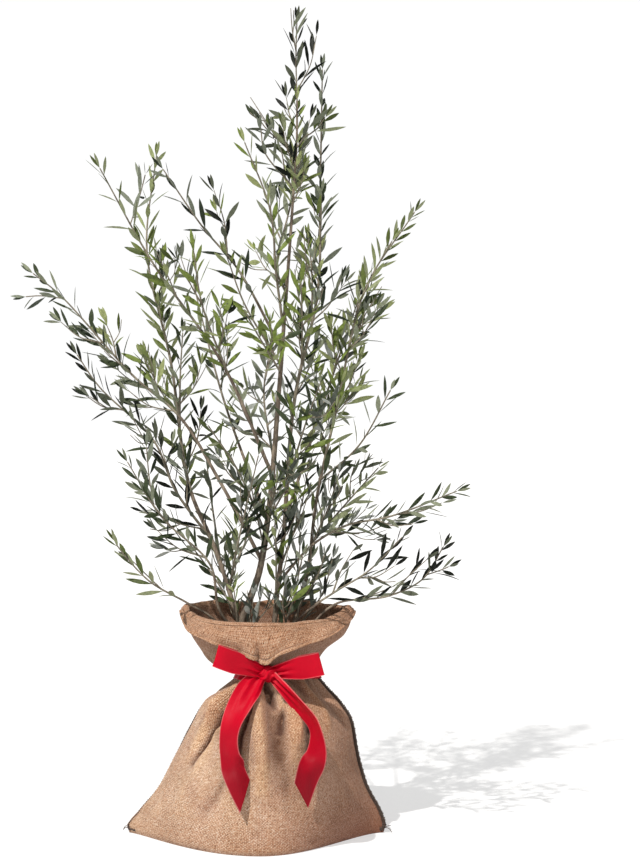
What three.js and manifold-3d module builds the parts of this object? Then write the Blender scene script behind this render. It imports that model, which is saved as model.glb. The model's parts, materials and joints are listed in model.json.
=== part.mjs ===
// A young olive tree in its nursery pot, dressed for giving: the pot stands in a burlap sack whose mouth is
// folded down as a collar, and a ribbon is tied in a bow round the sack's neck.
// Millimetres, +Z up, front towards -Y. The origin is on the ground,
// inside the foot of the sack, 18 mm to the left of the pot's middle.
import * as THREE from "three";
import { mergeVertices } from "three/addons/utils/BufferGeometryUtils.js";
import Module from "manifold-3d";

const wasm = await Module();
wasm.setup();

const CLEAR = 0.35; // gap between neighbours
const SEAT = 0.5; // how far a child's foot is cut back from the limb that carries it
const JOINT = 0.8; // gap between a bough's cut end and the stem that carries it on
const MERGE = 1e-4; // corners closer than this are one
const UP = new THREE.Vector3(0, 0, 1);
const v3 = (x, y, z) => new THREE.Vector3(x, y, z);
const mix = (a, b, share) => a + (b - a) * share;

// Nursery pot and the mix that fills it
const POT = {
  x: 18, foot: 2.5, height: 164, topRadius: 94, footRadius: 80, wall: 2.2, floor: 4, lip: 2.5, lipHeight: 12,
  sides: 32,
};
const SOIL = { bottom: POT.foot + POT.floor + CLEAR, top: 150, slack: 0.6 };

// Sack: each station is a level section with its reach to the left, right, front and back of the origin,
// and how far its two seamed sides are drawn out into corners
const CLOTH = 1.8;
const SACK_SECTIONS = [
  { z: 0, left: 199, right: 181, front: 128, back: 123, corner: 1.5 },
  { z: 9, left: 202, right: 183, front: 132, back: 127, corner: 1.35 },
  { z: 34, left: 185, right: 176, front: 130, back: 125, corner: 0.85 },
  { z: 70, left: 156, right: 157, front: 124, back: 121, corner: 0.36 },
  { z: 126, left: 126, right: 141, front: 118, back: 115, corner: 0.14 },
  { z: 171, left: 103, right: 132, front: 110, back: 108, corner: 0.08 },
  { z: 200, left: 86, right: 117, front: 92, back: 90, corner: 0.05 },
  { z: 224, left: 51, right: 94, front: 66, back: 66, corner: 0.02 },
  { z: 248, left: 31, right: 76, front: 46, back: 46, corner: 0 },
];
const RIGHT_CORNER = 1.6; // the right side's corners are drawn out this much more
const NECK = SACK_SECTIONS[SACK_SECTIONS.length - 1];
// The collar's crest: it lifts at its two corners and sags in front
const RIM = {
  z: 334, left: 109, right: 125, front: 71, back: 74, corner: 0.25, cornerLift: 4, frontSag: 12,
};
// The collar's way from the neck to its crest, as shares of the way up and out: it flares early on the left
// and bulges past its crest at both sides, which have a line of their own from this share across
const SIDE_STARTS = 0.3;
const BOWL = [
  { up: 0.12, out: 0.14, outLeft: 0.55, outRight: 0.12 },
  { up: 0.35, out: 0.4, outLeft: 0.78, outRight: 0.43 },
  { up: 0.6, out: 0.72, outLeft: 0.98, outRight: 0.96 },
  { up: 0.82, out: 0.92, outLeft: 1.06, outRight: 1.12 },
  { up: 1, out: 1, outLeft: 1, outRight: 1 },
];
const CREST_RADIUS = 4.5;
const CREST_ANGLES = [120, 60, 0];
// The flap hangs from the crest, deepest in front and behind. Each station is how far it stands off the bowl
// behind it, at a share of the drop.
const FLAP = { drop: 54, cornerDrop: 5, stations: [[8.5, 0.35], [7, 0.7], [5, 1]] };
const FOOT_RINGS = [0.55, 1];
const SACK_TURNS = 36;
// Gathers that run down from the neck: where each lies round the sack, its depth, its width and its low end.
// They are full from a little under the neck, and on a narrow section they are drawn in less.
const GATHERS_FULL = NECK.z - 16;
const GATHERS_WIDE = 60;
const GATHERS = [
  { turn: 232, depth: 9, width: 10, low: 118 },
  { turn: 252, depth: 5, width: 9, low: 150 },
  { turn: 278, depth: 8, width: 8, low: 70 },
  { turn: 302, depth: 7, width: 10, low: 105 },
  { turn: 330, depth: 6, width: 11, low: 150 },
  { turn: 20, depth: 6, width: 11, low: 140 },
  { turn: 55, depth: 8, width: 11, low: 110 },
  { turn: 88, depth: 7, width: 9, low: 80 },
  { turn: 120, depth: 8, width: 10, low: 120 },
  { turn: 155, depth: 6, width: 11, low: 140 },
  { turn: 205, depth: 6, width: 10, low: 150 },
];

// Ribbon and its bow
const RIBBON = { width: 36, thick: 1.2, standOff: 1.6, bandShare: 0.3 };
const KNOT = { at: v3(10, -62, 253), size: v3(14, 14, 12) };
const TURN_BACK = { tall: 8, deep: 20, y: -50, underNeck: 2 }; // joins the knot to the band behind it
const LOOPS = [
  { tip: v3(-64, -92, 285), lean: 15, edge: 33 },
  { tip: v3(88, -92, 273), lean: -15, edge: 34 },
];
// Both loops: the gap between front and back, how far out they are parallel, how sharp their outer fold is,
// and how they widen from the knot
const LOOP = {
  gap: 7, parallel: 0.45, fold: 8, foldGap: 3.2, end: 3, narrow: 0.42, widening: 55, segments: 18,
};
// Each tail hangs from the knot: places down its middle, how far its face is turned from the front, and how
// far its width leans
const TAILS = {
  left: {
    places: [[4, -66, 250], [-26, -102, 217], [-43, -121, 182], [-44, -127, 150], [-33, -131, 116],
      [-15, -131, 73]],
    turns: [36, 44, 54, 48, 28, 16],
    leans: [42, 30, 12, -4, -22, -24],
  },
  right: {
    places: [[15, -66, 250], [50, -100, 220], [77, -119, 190], [81, -128, 154], [68, -131, 118],
      [54, -131, 74]],
    turns: [-44, -64, -66, -60, -40, -16],
    leans: [-46, -44, -30, 6, 22, 22],
  },
};
const TAIL = { narrow: 0.5, widening: 0.2, cut: 34, cutFrom: 0.62, segments: 14 };

// Trunk: from a flat cut on the mix, out over the sack's mouth, then up through the crown to its tip's mass
const TRUNK = {
  places: [[4, -10, SOIL.top - 12], [-6, -10, 205], [-19, -8, 262], [-30, -5, 316], [-17, -4, 356],
    [-3, -4, 398], [12, -4, 500], [21, -3, 603], [33, -2, 760], [45, 0, 922], [52, 2, 1030], [52.5, 2, 1086]],
  footRadius: 8.4,
  topRadius: 2.3,
  flare: 5,
  flareHeight: 34,
  taper: 0.8,
  sides: 8,
  segments: 22,
};

// Limbs. Each leaves its parent at a height, goes by way of the places listed and ends at its tip. It is bare
// wood for the share called bare and carries foliage from there on, as far out as its reach. A limb that
// springs from a parent's leafy part is a fork inside that mass.
const LIMBS = [
  { name: "left_stem", parent: "trunk", from: 300, bare: 0.3, tip: [-158, 90, 1036],
    via: [[-68, 3, 424], [-109, 25, 519], [-137, 46, 703], [-174, 72, 870]] },
  { name: "right_stem", parent: "trunk", from: 190, bare: 0.46, tip: [90, 40, 1161],
    via: [[12, -19, 262], [22, -15, 356], [32, -6, 448], [48, 2, 646], [83, 12, 810], [86, 26, 943]] },
  { name: "far_right_stem", parent: "right_stem", from: 250, bare: 0.44, tip: [241, 60, 948],
    via: [[42, -4, 306], [65, 6, 379], [82, 18, 506], [111, 30, 635], [153, 42, 811]] },
  { name: "left_arm", parent: "trunk", from: 411, reach: 56, bare: 0.44, tip: [-359, 30, 851],
    via: [[-63, 0, 530], [-121, 8, 623], [-191, 17, 684], [-299, 26, 803]] },
  { name: "left_inner", parent: "trunk", from: 538, bare: 0.4, tip: [-241, -70, 1007],
    via: [[-57, -29, 705], [-156, -50, 851]] },
  { name: "left_long", parent: "trunk", from: 722, bare: 0.26, tip: [-155, -44, 1006],
    via: [[-33, -22, 840], [-85, -30, 903]] },
  { name: "left_low", parent: "trunk", from: 268, reach: 34, bare: 0.5, tip: [-223, -60, 468],
    via: [[-76, -24, 331], [-113, -30, 354], [-164, -42, 386], [-208, -54, 438]] },
  { name: "left_mid", parent: "trunk", from: 288, bare: 0.36, tip: [-201, -110, 588],
    via: [[-62, -32, 342], [-74, -54, 412], [-143, -83, 486]] },
  { name: "right_arm", parent: "right_stem", from: 380, reach: 36, bare: 0.3, tip: [308, -60, 529],
    via: [[74, -16, 435], [123, -24, 465], [190, -38, 481]] },
  { name: "right_low", parent: "right_stem", from: 226, reach: 36, bare: 0.5, tip: [280, -40, 458],
    via: [[62, -27, 304], [108, -31, 350], [186, -31, 362], [237, -34, 388]] },
  { name: "right_front", parent: "right_stem", from: 276, reach: 48, bare: 0.42, tip: [219, -130, 478],
    via: [[62, -46, 338], [109, -76, 376], [155, -96, 408]] },
  { name: "back_left", parent: "trunk", from: 470, bare: 0.34, tip: [-120, 235, 840],
    via: [[-60, 106, 640]] },
  { name: "back_right", parent: "right_stem", from: 470, bare: 0.32, tip: [165, 220, 850],
    via: [[92, 104, 640]] },
  { name: "left_fan", parent: "left_stem", from: 440, reach: 66, bare: 0, tip: [-279, -60, 739],
    via: [[-127, -20, 518], [-157, -30, 591], [-234, -50, 671]] },
  { name: "left_spray", parent: "left_inner", from: 690, bare: 0, tip: [-94, -150, 890],
    via: [[-82, -90, 790]] },
  { name: "inner_left", parent: "left_stem", from: 366, bare: 0, tip: [4, -120, 600],
    via: [[-34, -66, 440]] },
  { name: "left_skirt", parent: "left_stem", from: 336, reach: 50, bare: 0, tip: [-130, 40, 456],
    via: [[-84, 22, 400]] },
  { name: "right_spray", parent: "far_right_stem", from: 528, reach: 62, bare: 0, tip: [196, -130, 689],
    via: [[144, -65, 589]] },
  { name: "right_back", parent: "far_right_stem", from: 434, reach: 60, bare: 0, tip: [190, 150, 550],
    via: [[132, 80, 494]] },
  { name: "right_skirt", parent: "far_right_stem", from: 344, reach: 50, bare: 0, tip: [98, -74, 446],
    via: [[84, -36, 396]] },
  { name: "crown_tip", parent: "trunk", from: 1086, reach: 52, bare: 0, tip: [53, 4, 1226],
    via: [[51, 3, 1150]] },
  { name: "crown_left", parent: "trunk", from: 1006, reach: 44, bare: 0, tip: [-19, 46, 1084],
    via: [[6, 31, 1049]] },
  { name: "crown_front", parent: "trunk", from: 752, bare: 0, tip: [-31, -60, 1046],
    via: [[22, -24, 837], [14, -42, 926]] },
  { name: "crown_back", parent: "trunk", from: 806, bare: 0, tip: [66, 110, 1050],
    via: [[22, 22, 842], [40, 70, 930]] },
  { name: "inner_high", parent: "trunk", from: 690, bare: 0, tip: [-30, -128, 800],
    via: [[-4, -72, 748]] },
  { name: "back_mid", parent: "trunk", from: 560, bare: 0, tip: [10, 245, 740], via: [[0, 120, 650]] },
  { name: "back_low", parent: "left_stem", from: 405, bare: 0, tip: [-96, 215, 560],
    via: [[-80, 100, 490]] },
  { name: "front_left", parent: "trunk", from: 450, bare: 0, tip: [-76, -215, 640],
    via: [[-30, -106, 552]] },
  { name: "front_right", parent: "right_stem", from: 520, bare: 0, tip: [92, -210, 700],
    via: [[62, -100, 610]] },
  { name: "arm_fork", parent: "left_arm", from: 798, reach: 30, bare: 0, tip: [-377, 40, 799],
    via: [[-330, 34, 802]] },
  { name: "inner_fork", parent: "left_inner", from: 905, bare: 0, tip: [-166, 20, 1000],
    via: [[-176, -14, 950]] },
  { name: "right_fork", parent: "far_right_stem", from: 745, reach: 50, bare: 0, tip: [196, 96, 800],
    via: [[164, 70, 770]] },
  { name: "low_fork", parent: "right_low", from: 394, reach: 28, bare: 0, tip: [292, -70, 420],
    via: [[264, -50, 404]] },
];
const LIMB = {
  baseRadius: 1.5, radiusPerLength: 0.0042, parentShare: 0.8, tipShare: 0.21, tipRadius: 0.9, sides: 6,
  segment: 42, stemSides: 3, stemSegment: 60,
};

// Foliage: twigs and leaves along each limb's leafy part. A twig's sizes are for one near the mass's foot. It
// goes straight out to its elbow, then bends towards the limb's own way and up.
const TWIG = {
  spacing: 72, length: 104, least: 0.75, most: 1.15, shortening: 0.5, last: 0.66, spread: 40, turnSpread: 40,
  turnPerLimb: 70, elbow: 0.5, bend: 0.45, rise: 0.15, radius: 1.05, footShare: 1.3, tipShare: 0.7,
  start: 0.1, freeFrom: 0.3,
};
// Leaves stand in pairs, each a quarter turn on from the last. In a mass with a short reach they are smaller.
const LEAF = {
  length: 64, least: 0.8, most: 1.08, tipShare: 0.75, width: 13, thick: 1.3, spacing: 66, first: 0.35,
  last: 0.96, spread: 40, narrowest: 0.75, widest: 1.2, turnSpread: 0.7, twist: 55, fullReach: 56,
  leastShare: 0.72, keepOut: 2.6, rootShare: 0.15,
};
const TIP_LEAF = 26; // how far the leaf at a tip reaches past its shoot
const TIP_ROOT = 6; // how far behind the tip it starts
const GOLDEN_TURN = 137.5;
const LOWEST_LEAF = 347;
const SPACE = { reach: 84, tipReach: 37, samples: 14, past: 2 };
const NEIGHBOUR_GAP = 1;
const SEED_STEP = 7919;

const radians = THREE.MathUtils.degToRad;

// Numbers from 0 to 1 that are the same on every run
function seededNumbers(seed) {
  let state = seed >>> 0;
  return () => {
    state = (Math.imul(state, 1664525) + 1013904223) >>> 0;
    return state / 4294967296;
  };
}

// A closed geometry as a solid
function solidOf(geometry) {
  const plain = geometry.clone();
  plain.deleteAttribute("normal");
  plain.deleteAttribute("uv");
  const merged = mergeVertices(plain, MERGE);
  const vertProperties = new Float32Array(merged.attributes.position.array);
  const triVerts = new Uint32Array(merged.index.array);
  return new wasm.Manifold(new wasm.Mesh({ numProp: 3, vertProperties, triVerts }));
}

function geometryOf(solid) {
  const mesh = solid.getMesh();
  const places = new Float32Array(mesh.numVert * 3);
  for (let i = 0; i < mesh.numVert; i++) {
    places.set(mesh.vertProperties.subarray(i * mesh.numProp, i * mesh.numProp + 3), i * 3);
  }
  const geometry = new THREE.BufferGeometry();
  geometry.setAttribute("position", new THREE.BufferAttribute(places, 3));
  geometry.setIndex(new THREE.BufferAttribute(mesh.triVerts, 1));
  geometry.computeVertexNormals();
  return geometry;
}

// Keeps the largest body of a solid, so no loose scrap is left. Its corners are merged once more in between,
// which parts two bodies that only share an edge.
function largestBody(solid) {
  const larger = (best, body) => (body.volume() > best.volume() ? body : best);
  const largest = (whole) => whole.decompose().reduce(larger);
  return largest(solidOf(geometryOf(largest(solid))));
}

// A closed, tapering tube: a cylinder bent along a curve
function taperedTube(curve, radiusAt, sides, segments) {
  const tube = new THREE.CylinderGeometry(1, 1, 1, sides, segments);
  const frames = curve.computeFrenetFrames(segments, false);
  const centres = curve.getSpacedPoints(segments);
  const position = tube.attributes.position;
  for (let i = 0; i < position.count; i++) {
    const along = position.getY(i) + 0.5;
    const ring = Math.round(along * segments);
    const radius = radiusAt(along);
    const place = centres[ring].clone();
    place.addScaledVector(frames.normals[ring], position.getX(i) * radius);
    place.addScaledVector(frames.binormals[ring], -position.getZ(i) * radius);
    position.setXYZ(i, place.x, place.y, place.z);
  }
  return tube;
}

// A closed strip: a thin box bent down a curve, its width along `across` and its face along `facing`
function bentStrip(frameAt, width, thick, segments) {
  const strip = new THREE.BoxGeometry(1, 1, 1, 1, segments, 1);
  const position = strip.attributes.position;
  for (let i = 0; i < position.count; i++) {
    const { centre, across, facing, share } = frameAt(position.getY(i) + 0.5);
    const place = centre.clone();
    place.addScaledVector(across, position.getX(i) * width * (share ?? 1));
    place.addScaledVector(facing, position.getZ(i) * thick);
    position.setXYZ(i, place.x, place.y, place.z);
  }
  return strip;
}

// Pot: a tapered shell with a rolled lip
function potGeometry() {
  const top = POT.foot + POT.height;
  const floorTop = POT.foot + POT.floor;
  const lipFoot = top - POT.lipHeight;
  const lipRadius = POT.topRadius + POT.lip;
  const profile = [
    [0, POT.foot], [POT.footRadius, POT.foot], [POT.topRadius, lipFoot], [lipRadius, lipFoot],
    [lipRadius, top], [POT.topRadius - POT.wall, top], [POT.footRadius - POT.wall, floorTop], [0, floorTop],
  ].map(([radius, z]) => new THREE.Vector2(radius, z));
  return new THREE.LatheGeometry(profile, POT.sides).rotateX(Math.PI / 2).translate(POT.x, 0, 0);
}

// Inner radius of the pot's wall at a height
function potInside(z) {
  const share = (z - POT.foot - POT.floor) / (POT.height - POT.floor);
  return mix(POT.footRadius, POT.topRadius, share) - POT.wall;
}

// Mix: fills the pot
function mixGeometry() {
  const lowRadius = potInside(SOIL.bottom) - SOIL.slack;
  const highRadius = potInside(SOIL.top) - SOIL.slack;
  return new THREE.CylinderGeometry(highRadius, lowRadius, SOIL.top - SOIL.bottom, POT.sides, 1)
    .rotateX(Math.PI / 2)
    .translate(POT.x, 0, (SOIL.top + SOIL.bottom) / 2);
}

// A point on a section of the sack, whose turn is 0 to the right, 90 to the back and 270 to the front
function sectionPoint(section, turn) {
  const c = Math.cos(radians(turn));
  const s = Math.sin(radians(turn));
  const across = c > 0 ? section.right : section.left;
  const deep = s > 0 ? section.back : section.front;
  const corner = section.corner * (c > 0 ? RIGHT_CORNER : 1);
  return v3(across * c, deep * s * Math.abs(s) ** corner, section.z);
}

// How far the gathers draw the cloth in at a turn and a height below or at the neck
function gatherDepth(turn, z) {
  let depth = 0;
  for (const gather of GATHERS) {
    const away = ((turn - gather.turn + 540) % 360) - 180;
    const fade = THREE.MathUtils.smoothstep(z, gather.low, GATHERS_FULL);
    depth += gather.depth * Math.exp(-((away / gather.width) ** 2)) * fade;
  }
  return depth;
}

// Share of the way out from the neck that the bowl has reached at a share of the way up
function bowlShare(turn, up) {
  const c = Math.cos(radians(turn));
  const sideShare = THREE.MathUtils.smoothstep(Math.abs(c), SIDE_STARTS, 1);
  const shareAt = (station) => mix(station.out, c < 0 ? station.outLeft : station.outRight, sideShare);
  let before = { up: 0, out: 0, outLeft: 0, outRight: 0 };
  for (const station of BOWL) {
    if (up <= station.up) {
      return mix(shareAt(before), shareAt(station), (up - before.up) / (station.up - before.up));
    }
    before = station;
  }
  return 1;
}

// One line of the sack's outer face, from the middle of its foot up to the neck, out over the collar's bowl,
// over its crest and down to the hem of the turned-down flap
function sackLine(turn) {
  const outward = v3(Math.cos(radians(turn)), Math.sin(radians(turn)), 0);
  const middle = v3(POT.x, 0, 0);
  const line = [middle.clone()];
  const footEdge = sectionPoint(SACK_SECTIONS[0], turn);
  for (const share of FOOT_RINGS) line.push(middle.clone().lerp(footEdge, share));
  for (const section of SACK_SECTIONS.slice(1)) {
    const drawnIn = gatherDepth(turn, section.z) * Math.min(1, section.front / GATHERS_WIDE);
    line.push(sectionPoint(section, turn).addScaledVector(outward, -drawnIn));
  }
  const neck = line[line.length - 1];
  const side = Math.abs(outward.x);
  const crest = sectionPoint(RIM, turn);
  crest.z += RIM.cornerLift * (1 - Math.abs(outward.y)) - RIM.frontSag * Math.max(0, -outward.y);
  const bowlAt = (up) => {
    const place = neck.clone().lerp(crest, bowlShare(turn, up));
    place.z = mix(neck.z, crest.z, up);
    return place;
  };
  for (const station of BOWL) line.push(bowlAt(station.up));
  for (const angle of CREST_ANGLES) {
    const place = crest.clone().addScaledVector(outward, CREST_RADIUS * (1 + Math.cos(radians(angle))));
    place.z += CREST_RADIUS * Math.sin(radians(angle));
    line.push(place);
  }
  const drop = mix(FLAP.drop, FLAP.cornerDrop, side);
  for (const [standOff, share] of FLAP.stations) {
    line.push(bowlAt(1 - (drop * share) / (crest.z - neck.z)).addScaledVector(outward, standOff));
  }
  return line;
}

// Sack: the outer face and, one cloth's thickness inside it, the inner face, joined at the hem
function sackGeometry() {
  const lines = [];
  for (let i = 0; i < SACK_TURNS; i++) lines.push(sackLine((360 * i) / SACK_TURNS));
  const rows = lines[0].length;
  const at = (i, j) => lines[(i + SACK_TURNS) % SACK_TURNS][THREE.MathUtils.clamp(j, 0, rows - 1)];
  const faces = [];
  for (let i = 0; i < SACK_TURNS; i++) {
    const outer = [];
    const inner = [];
    for (let j = 0; j < rows; j++) {
      const around = at(i + 1, j).clone().sub(at(i - 1, j));
      const up = at(i, j + 1).clone().sub(at(i, j - 1));
      const normal = j < 2 ? UP.clone().negate() : around.cross(up).normalize();
      outer.push(at(i, j));
      inner.push(at(i, j).clone().addScaledVector(normal, -CLOTH));
    }
    faces.push([...outer, ...inner.reverse()]);
  }
  const around = faces[0].length;
  const places = [];
  for (let i = 0; i < SACK_TURNS; i++) {
    const a = faces[i];
    const b = faces[(i + 1) % SACK_TURNS];
    for (let j = 0; j < around - 1; j++) {
      if (j > 0) places.push(a[j], b[j], b[j + 1]);
      if (j < around - 2) places.push(a[j], b[j + 1], a[j + 1]);
    }
  }
  return new THREE.BufferGeometry().setFromPoints(places);
}

// Ribbon's band: a ring that follows the neck just outside the cloth
function bandGeometry(grow) {
  const places = [];
  const neckIndex = 1 + FOOT_RINGS.length + SACK_SECTIONS.length - 2;
  const corners = (turn) => {
    const line = sackLine(turn);
    const outward = v3(Math.cos(radians(turn)), Math.sin(radians(turn)), 0);
    const low = line[neckIndex].clone().lerp(line[neckIndex - 1], RIBBON.bandShare);
    const high = line[neckIndex].clone().lerp(line[neckIndex + 1], RIBBON.bandShare);
    const ring = [];
    for (const corner of [low, line[neckIndex], high]) {
      ring.push(corner.clone().addScaledVector(outward, RIBBON.standOff));
    }
    for (const corner of [high, line[neckIndex], low]) {
      ring.push(corner.clone().addScaledVector(outward, RIBBON.standOff + RIBBON.thick + grow));
    }
    return ring;
  };
  for (let i = 0; i < SACK_TURNS; i++) {
    const a = corners((360 * i) / SACK_TURNS);
    const b = corners((360 * ((i + 1) % SACK_TURNS)) / SACK_TURNS);
    for (let j = 0; j < a.length; j++) {
      const k = (j + 1) % a.length;
      places.push(a[j], b[k], b[j], a[j], a[k], b[k]);
    }
  }
  return new THREE.BufferGeometry().setFromPoints(places);
}

// One loop of the bow: out from the knot along the front, round its outer fold and back behind
function loopGeometry(loop) {
  const reach = loop.tip.clone().sub(KNOT.at);
  const direction = reach.clone().normalize();
  const back = v3(0, 1, 0).addScaledVector(direction, -direction.y).normalize();
  const straight = v3(Math.sin(radians(loop.lean)), 0, Math.cos(radians(loop.lean)));
  const path = new THREE.CatmullRomCurve3([
    KNOT.at.clone(),
    KNOT.at.clone().addScaledVector(reach, LOOP.parallel).addScaledVector(back, -LOOP.gap / 2),
    loop.tip.clone().addScaledVector(direction, -LOOP.fold).addScaledVector(back, -LOOP.foldGap),
    loop.tip.clone(),
    loop.tip.clone().addScaledVector(direction, -LOOP.fold).addScaledVector(back, LOOP.foldGap),
    KNOT.at.clone().addScaledVector(reach, LOOP.parallel).addScaledVector(back, LOOP.gap / 2),
    KNOT.at.clone().addScaledVector(back, LOOP.end),
  ]);
  const frameAt = (share) => {
    const centre = path.getPoint(share);
    const tangent = path.getTangent(share);
    const across = straight.clone().addScaledVector(tangent, -tangent.dot(straight)).normalize();
    const spread = Math.min(1, centre.distanceTo(KNOT.at) / LOOP.widening);
    const width = mix(LOOP.narrow, loop.edge / RIBBON.width, spread);
    return { centre, across, facing: across.clone().cross(tangent), share: width };
  };
  return bentStrip(frameAt, RIBBON.width, RIBBON.thick, LOOP.segments);
}

function knotGeometry(grow) {
  const knot = new THREE.IcosahedronGeometry(1, 2);
  knot.scale(KNOT.size.x + grow, KNOT.size.y + grow, KNOT.size.z + grow);
  return knot.translate(KNOT.at.x, KNOT.at.y, KNOT.at.z);
}

// One tail of the bow, with a slanting cut at its end
function tailGeometry(tail, cutSide) {
  const path = new THREE.CatmullRomCurve3(tail.places.map((place) => v3(...place)));
  const last = tail.places.length - 1;
  const valueAt = (values, share) => {
    const place = share * last;
    const index = Math.min(Math.floor(place), last - 1);
    return mix(values[index], values[index + 1], place - index);
  };
  const strip = new THREE.BoxGeometry(1, 1, 1, 1, TAIL.segments, 1);
  const position = strip.attributes.position;
  for (let i = 0; i < position.count; i++) {
    const share = 0.5 - position.getY(i);
    const tangent = path.getTangent(share);
    const turn = radians(valueAt(tail.turns, share));
    const lean = radians(valueAt(tail.leans, share));
    const across = v3(Math.cos(turn) * Math.cos(lean), Math.sin(turn), -Math.sin(lean));
    across.addScaledVector(tangent, -tangent.dot(across)).normalize();
    const facing = tangent.clone().cross(across).normalize();
    const width = mix(TAIL.narrow, 1, Math.min(1, share / TAIL.widening)) * RIBBON.width;
    const place = path.getPoint(share);
    place.addScaledVector(across, position.getX(i) * width);
    place.addScaledVector(facing, position.getZ(i) * RIBBON.thick);
    const cut = THREE.MathUtils.smoothstep(share, TAIL.cutFrom, 1) * TAIL.cut;
    place.addScaledVector(tangent, -cut * (0.5 + cutSide * position.getX(i)));
    position.setXYZ(i, place.x, place.y, place.z);
  }
  return strip;
}

const trunkPlaces = TRUNK.places.map((place) => v3(...place));
const trunkCurve = new THREE.CatmullRomCurve3(trunkPlaces, false, "centripetal");
const trunkLength = trunkCurve.getLength();
function trunkRadius(share) {
  const height = share * trunkLength;
  const flare = TRUNK.flare * Math.max(0, 1 - height / TRUNK.flareHeight) ** 2;
  return mix(TRUNK.footRadius, TRUNK.topRadius, share ** TRUNK.taper) + flare;
}

// Share of a curve's length at which it reaches a height
function shareAtHeight(curve, z) {
  let low = 0;
  let high = 1;
  for (let step = 0; step < 30; step++) {
    const middle = (low + high) / 2;
    if (curve.getPointAt(middle).z < z) low = middle;
    else high = middle;
  }
  return (low + high) / 2;
}

// Each limb's curve and radius. The trunk stands as the first parent.
const limbs = new Map();
limbs.set("trunk", { name: "trunk", curve: trunkCurve, radiusAt: trunkRadius, bare: 1, length: trunkLength });
for (const row of LIMBS) {
  const parent = limbs.get(row.parent);
  const leaves = shareAtHeight(parent.curve, row.from);
  const start = parent.curve.getPointAt(leaves);
  const tip = v3(...row.tip);
  const through = row.via.map((place) => v3(...place));
  tip.lerp(through[through.length - 1], TIP_LEAF / tip.distanceTo(through[through.length - 1]));
  const curve = new THREE.CatmullRomCurve3([start, ...through, tip], false, "centripetal");
  const length = curve.getLength();
  const thickest = parent.radiusAt(leaves) * LIMB.parentShare;
  const baseRadius = Math.min(LIMB.baseRadius + LIMB.radiusPerLength * length, thickest);
  const radiusAt = (share) => mix(baseRadius, Math.max(LIMB.tipRadius, baseRadius * LIMB.tipShare), share);
  const inParentMass = leaves > parent.bare + 0.01;
  limbs.set(row.name, { ...row, parent, leaves, curve, length, radiusAt, inParentMass, seed: limbs.size });
}

// Part of a limb's curve, between two shares of its length
function stretch(limb, from, to, segments) {
  const places = [];
  for (let i = 0; i <= segments; i++) places.push(limb.curve.getPointAt(mix(from, to, i / segments)));
  return new THREE.CatmullRomCurve3(places, false, "centripetal");
}

function limbTube(limb, from, to, grow, sides, segments) {
  const part = stretch(limb, from, to, segments);
  return taperedTube(part, (share) => limb.radiusAt(mix(from, to, share)) + grow, sides, segments);
}

// Capsules already taken by limbs, twigs and leaves, each with the node that owns it
const taken = [];
function take(owner, start, end, radius) {
  taken.push({ owner, start, end, radius });
}

// Least distance between two straight pieces
function pieceDistance(a0, a1, b0, b1) {
  const u = a1.clone().sub(a0);
  const v = b1.clone().sub(b0);
  const w = a0.clone().sub(b0);
  const [a, b, c, d, e] = [u.dot(u), u.dot(v), v.dot(v), u.dot(w), v.dot(w)];
  const spread = a * c - b * b;
  let s = spread > 1e-9 ? THREE.MathUtils.clamp((b * e - c * d) / spread, 0, 1) : 0;
  const t = THREE.MathUtils.clamp((b * s + e) / (c || 1), 0, 1);
  s = THREE.MathUtils.clamp((b * t - d) / (a || 1), 0, 1);
  return w.addScaledVector(u, s).addScaledVector(v, -t).length();
}

// Whether a place lies in the space of the mass that a limb belongs to: near enough to the limb's leafy part
function isInSpace(limb, place) {
  const from = limb.inParentMass ? 0 : limb.bare;
  const reach = limb.reach ?? SPACE.reach;
  const past = place.clone().sub(limb.curve.getPointAt(1)).dot(limb.curve.getTangentAt(1));
  if (past > TIP_LEAF + SPACE.past) return false;
  for (let i = 0; i <= SPACE.samples; i++) {
    const share = mix(from, 1, i / SPACE.samples);
    const allowed = mix(reach, Math.min(reach, SPACE.tipReach), (i / SPACE.samples) ** 2);
    if (limb.curve.getPointAt(share).distanceTo(place) < allowed) return true;
  }
  return false;
}

function isFree(owner, start, end, radius) {
  if (Math.min(start.z, end.z) - radius < LOWEST_LEAF) return false;
  return taken.every((other) => other.owner === owner
    || pieceDistance(start, end, other.start, other.end) > radius + other.radius + NEIGHBOUR_GAP);
}

function takeCurve(owner, limb, from, to, pieces) {
  for (let i = 0; i < pieces; i++) {
    const start = mix(from, to, i / pieces);
    const end = mix(from, to, (i + 1) / pieces);
    take(owner, limb.curve.getPointAt(start), limb.curve.getPointAt(end), limb.radiusAt(start));
  }
}

// A direction that leaves an axis by an angle, at a turn round it
function leaving(axis, turn, angle) {
  const side = Math.abs(axis.z) > 0.9 ? v3(1, 0, 0) : UP.clone();
  const across = side.cross(axis).normalize();
  const upright = axis.clone().cross(across);
  const out = across.multiplyScalar(Math.cos(turn)).addScaledVector(upright, Math.sin(turn));
  return axis.clone().multiplyScalar(Math.cos(angle)).addScaledVector(out, Math.sin(angle)).normalize();
}

// The mass that a limb's leafy part belongs to
function massOf(limb) {
  return limb.inParentMass ? massOf(limb.parent) : limb;
}

// Where a limb's leafy stem starts: just past the end of its own bare wood, or of the parent it carries on
function stemStart(limb) {
  const goesOn = limb.bare > 0 || limb.leaves > 0.999;
  return limb.inParentMass ? 0 : limb.bare + (goesOn ? JOINT / limb.length : 0);
}

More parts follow.
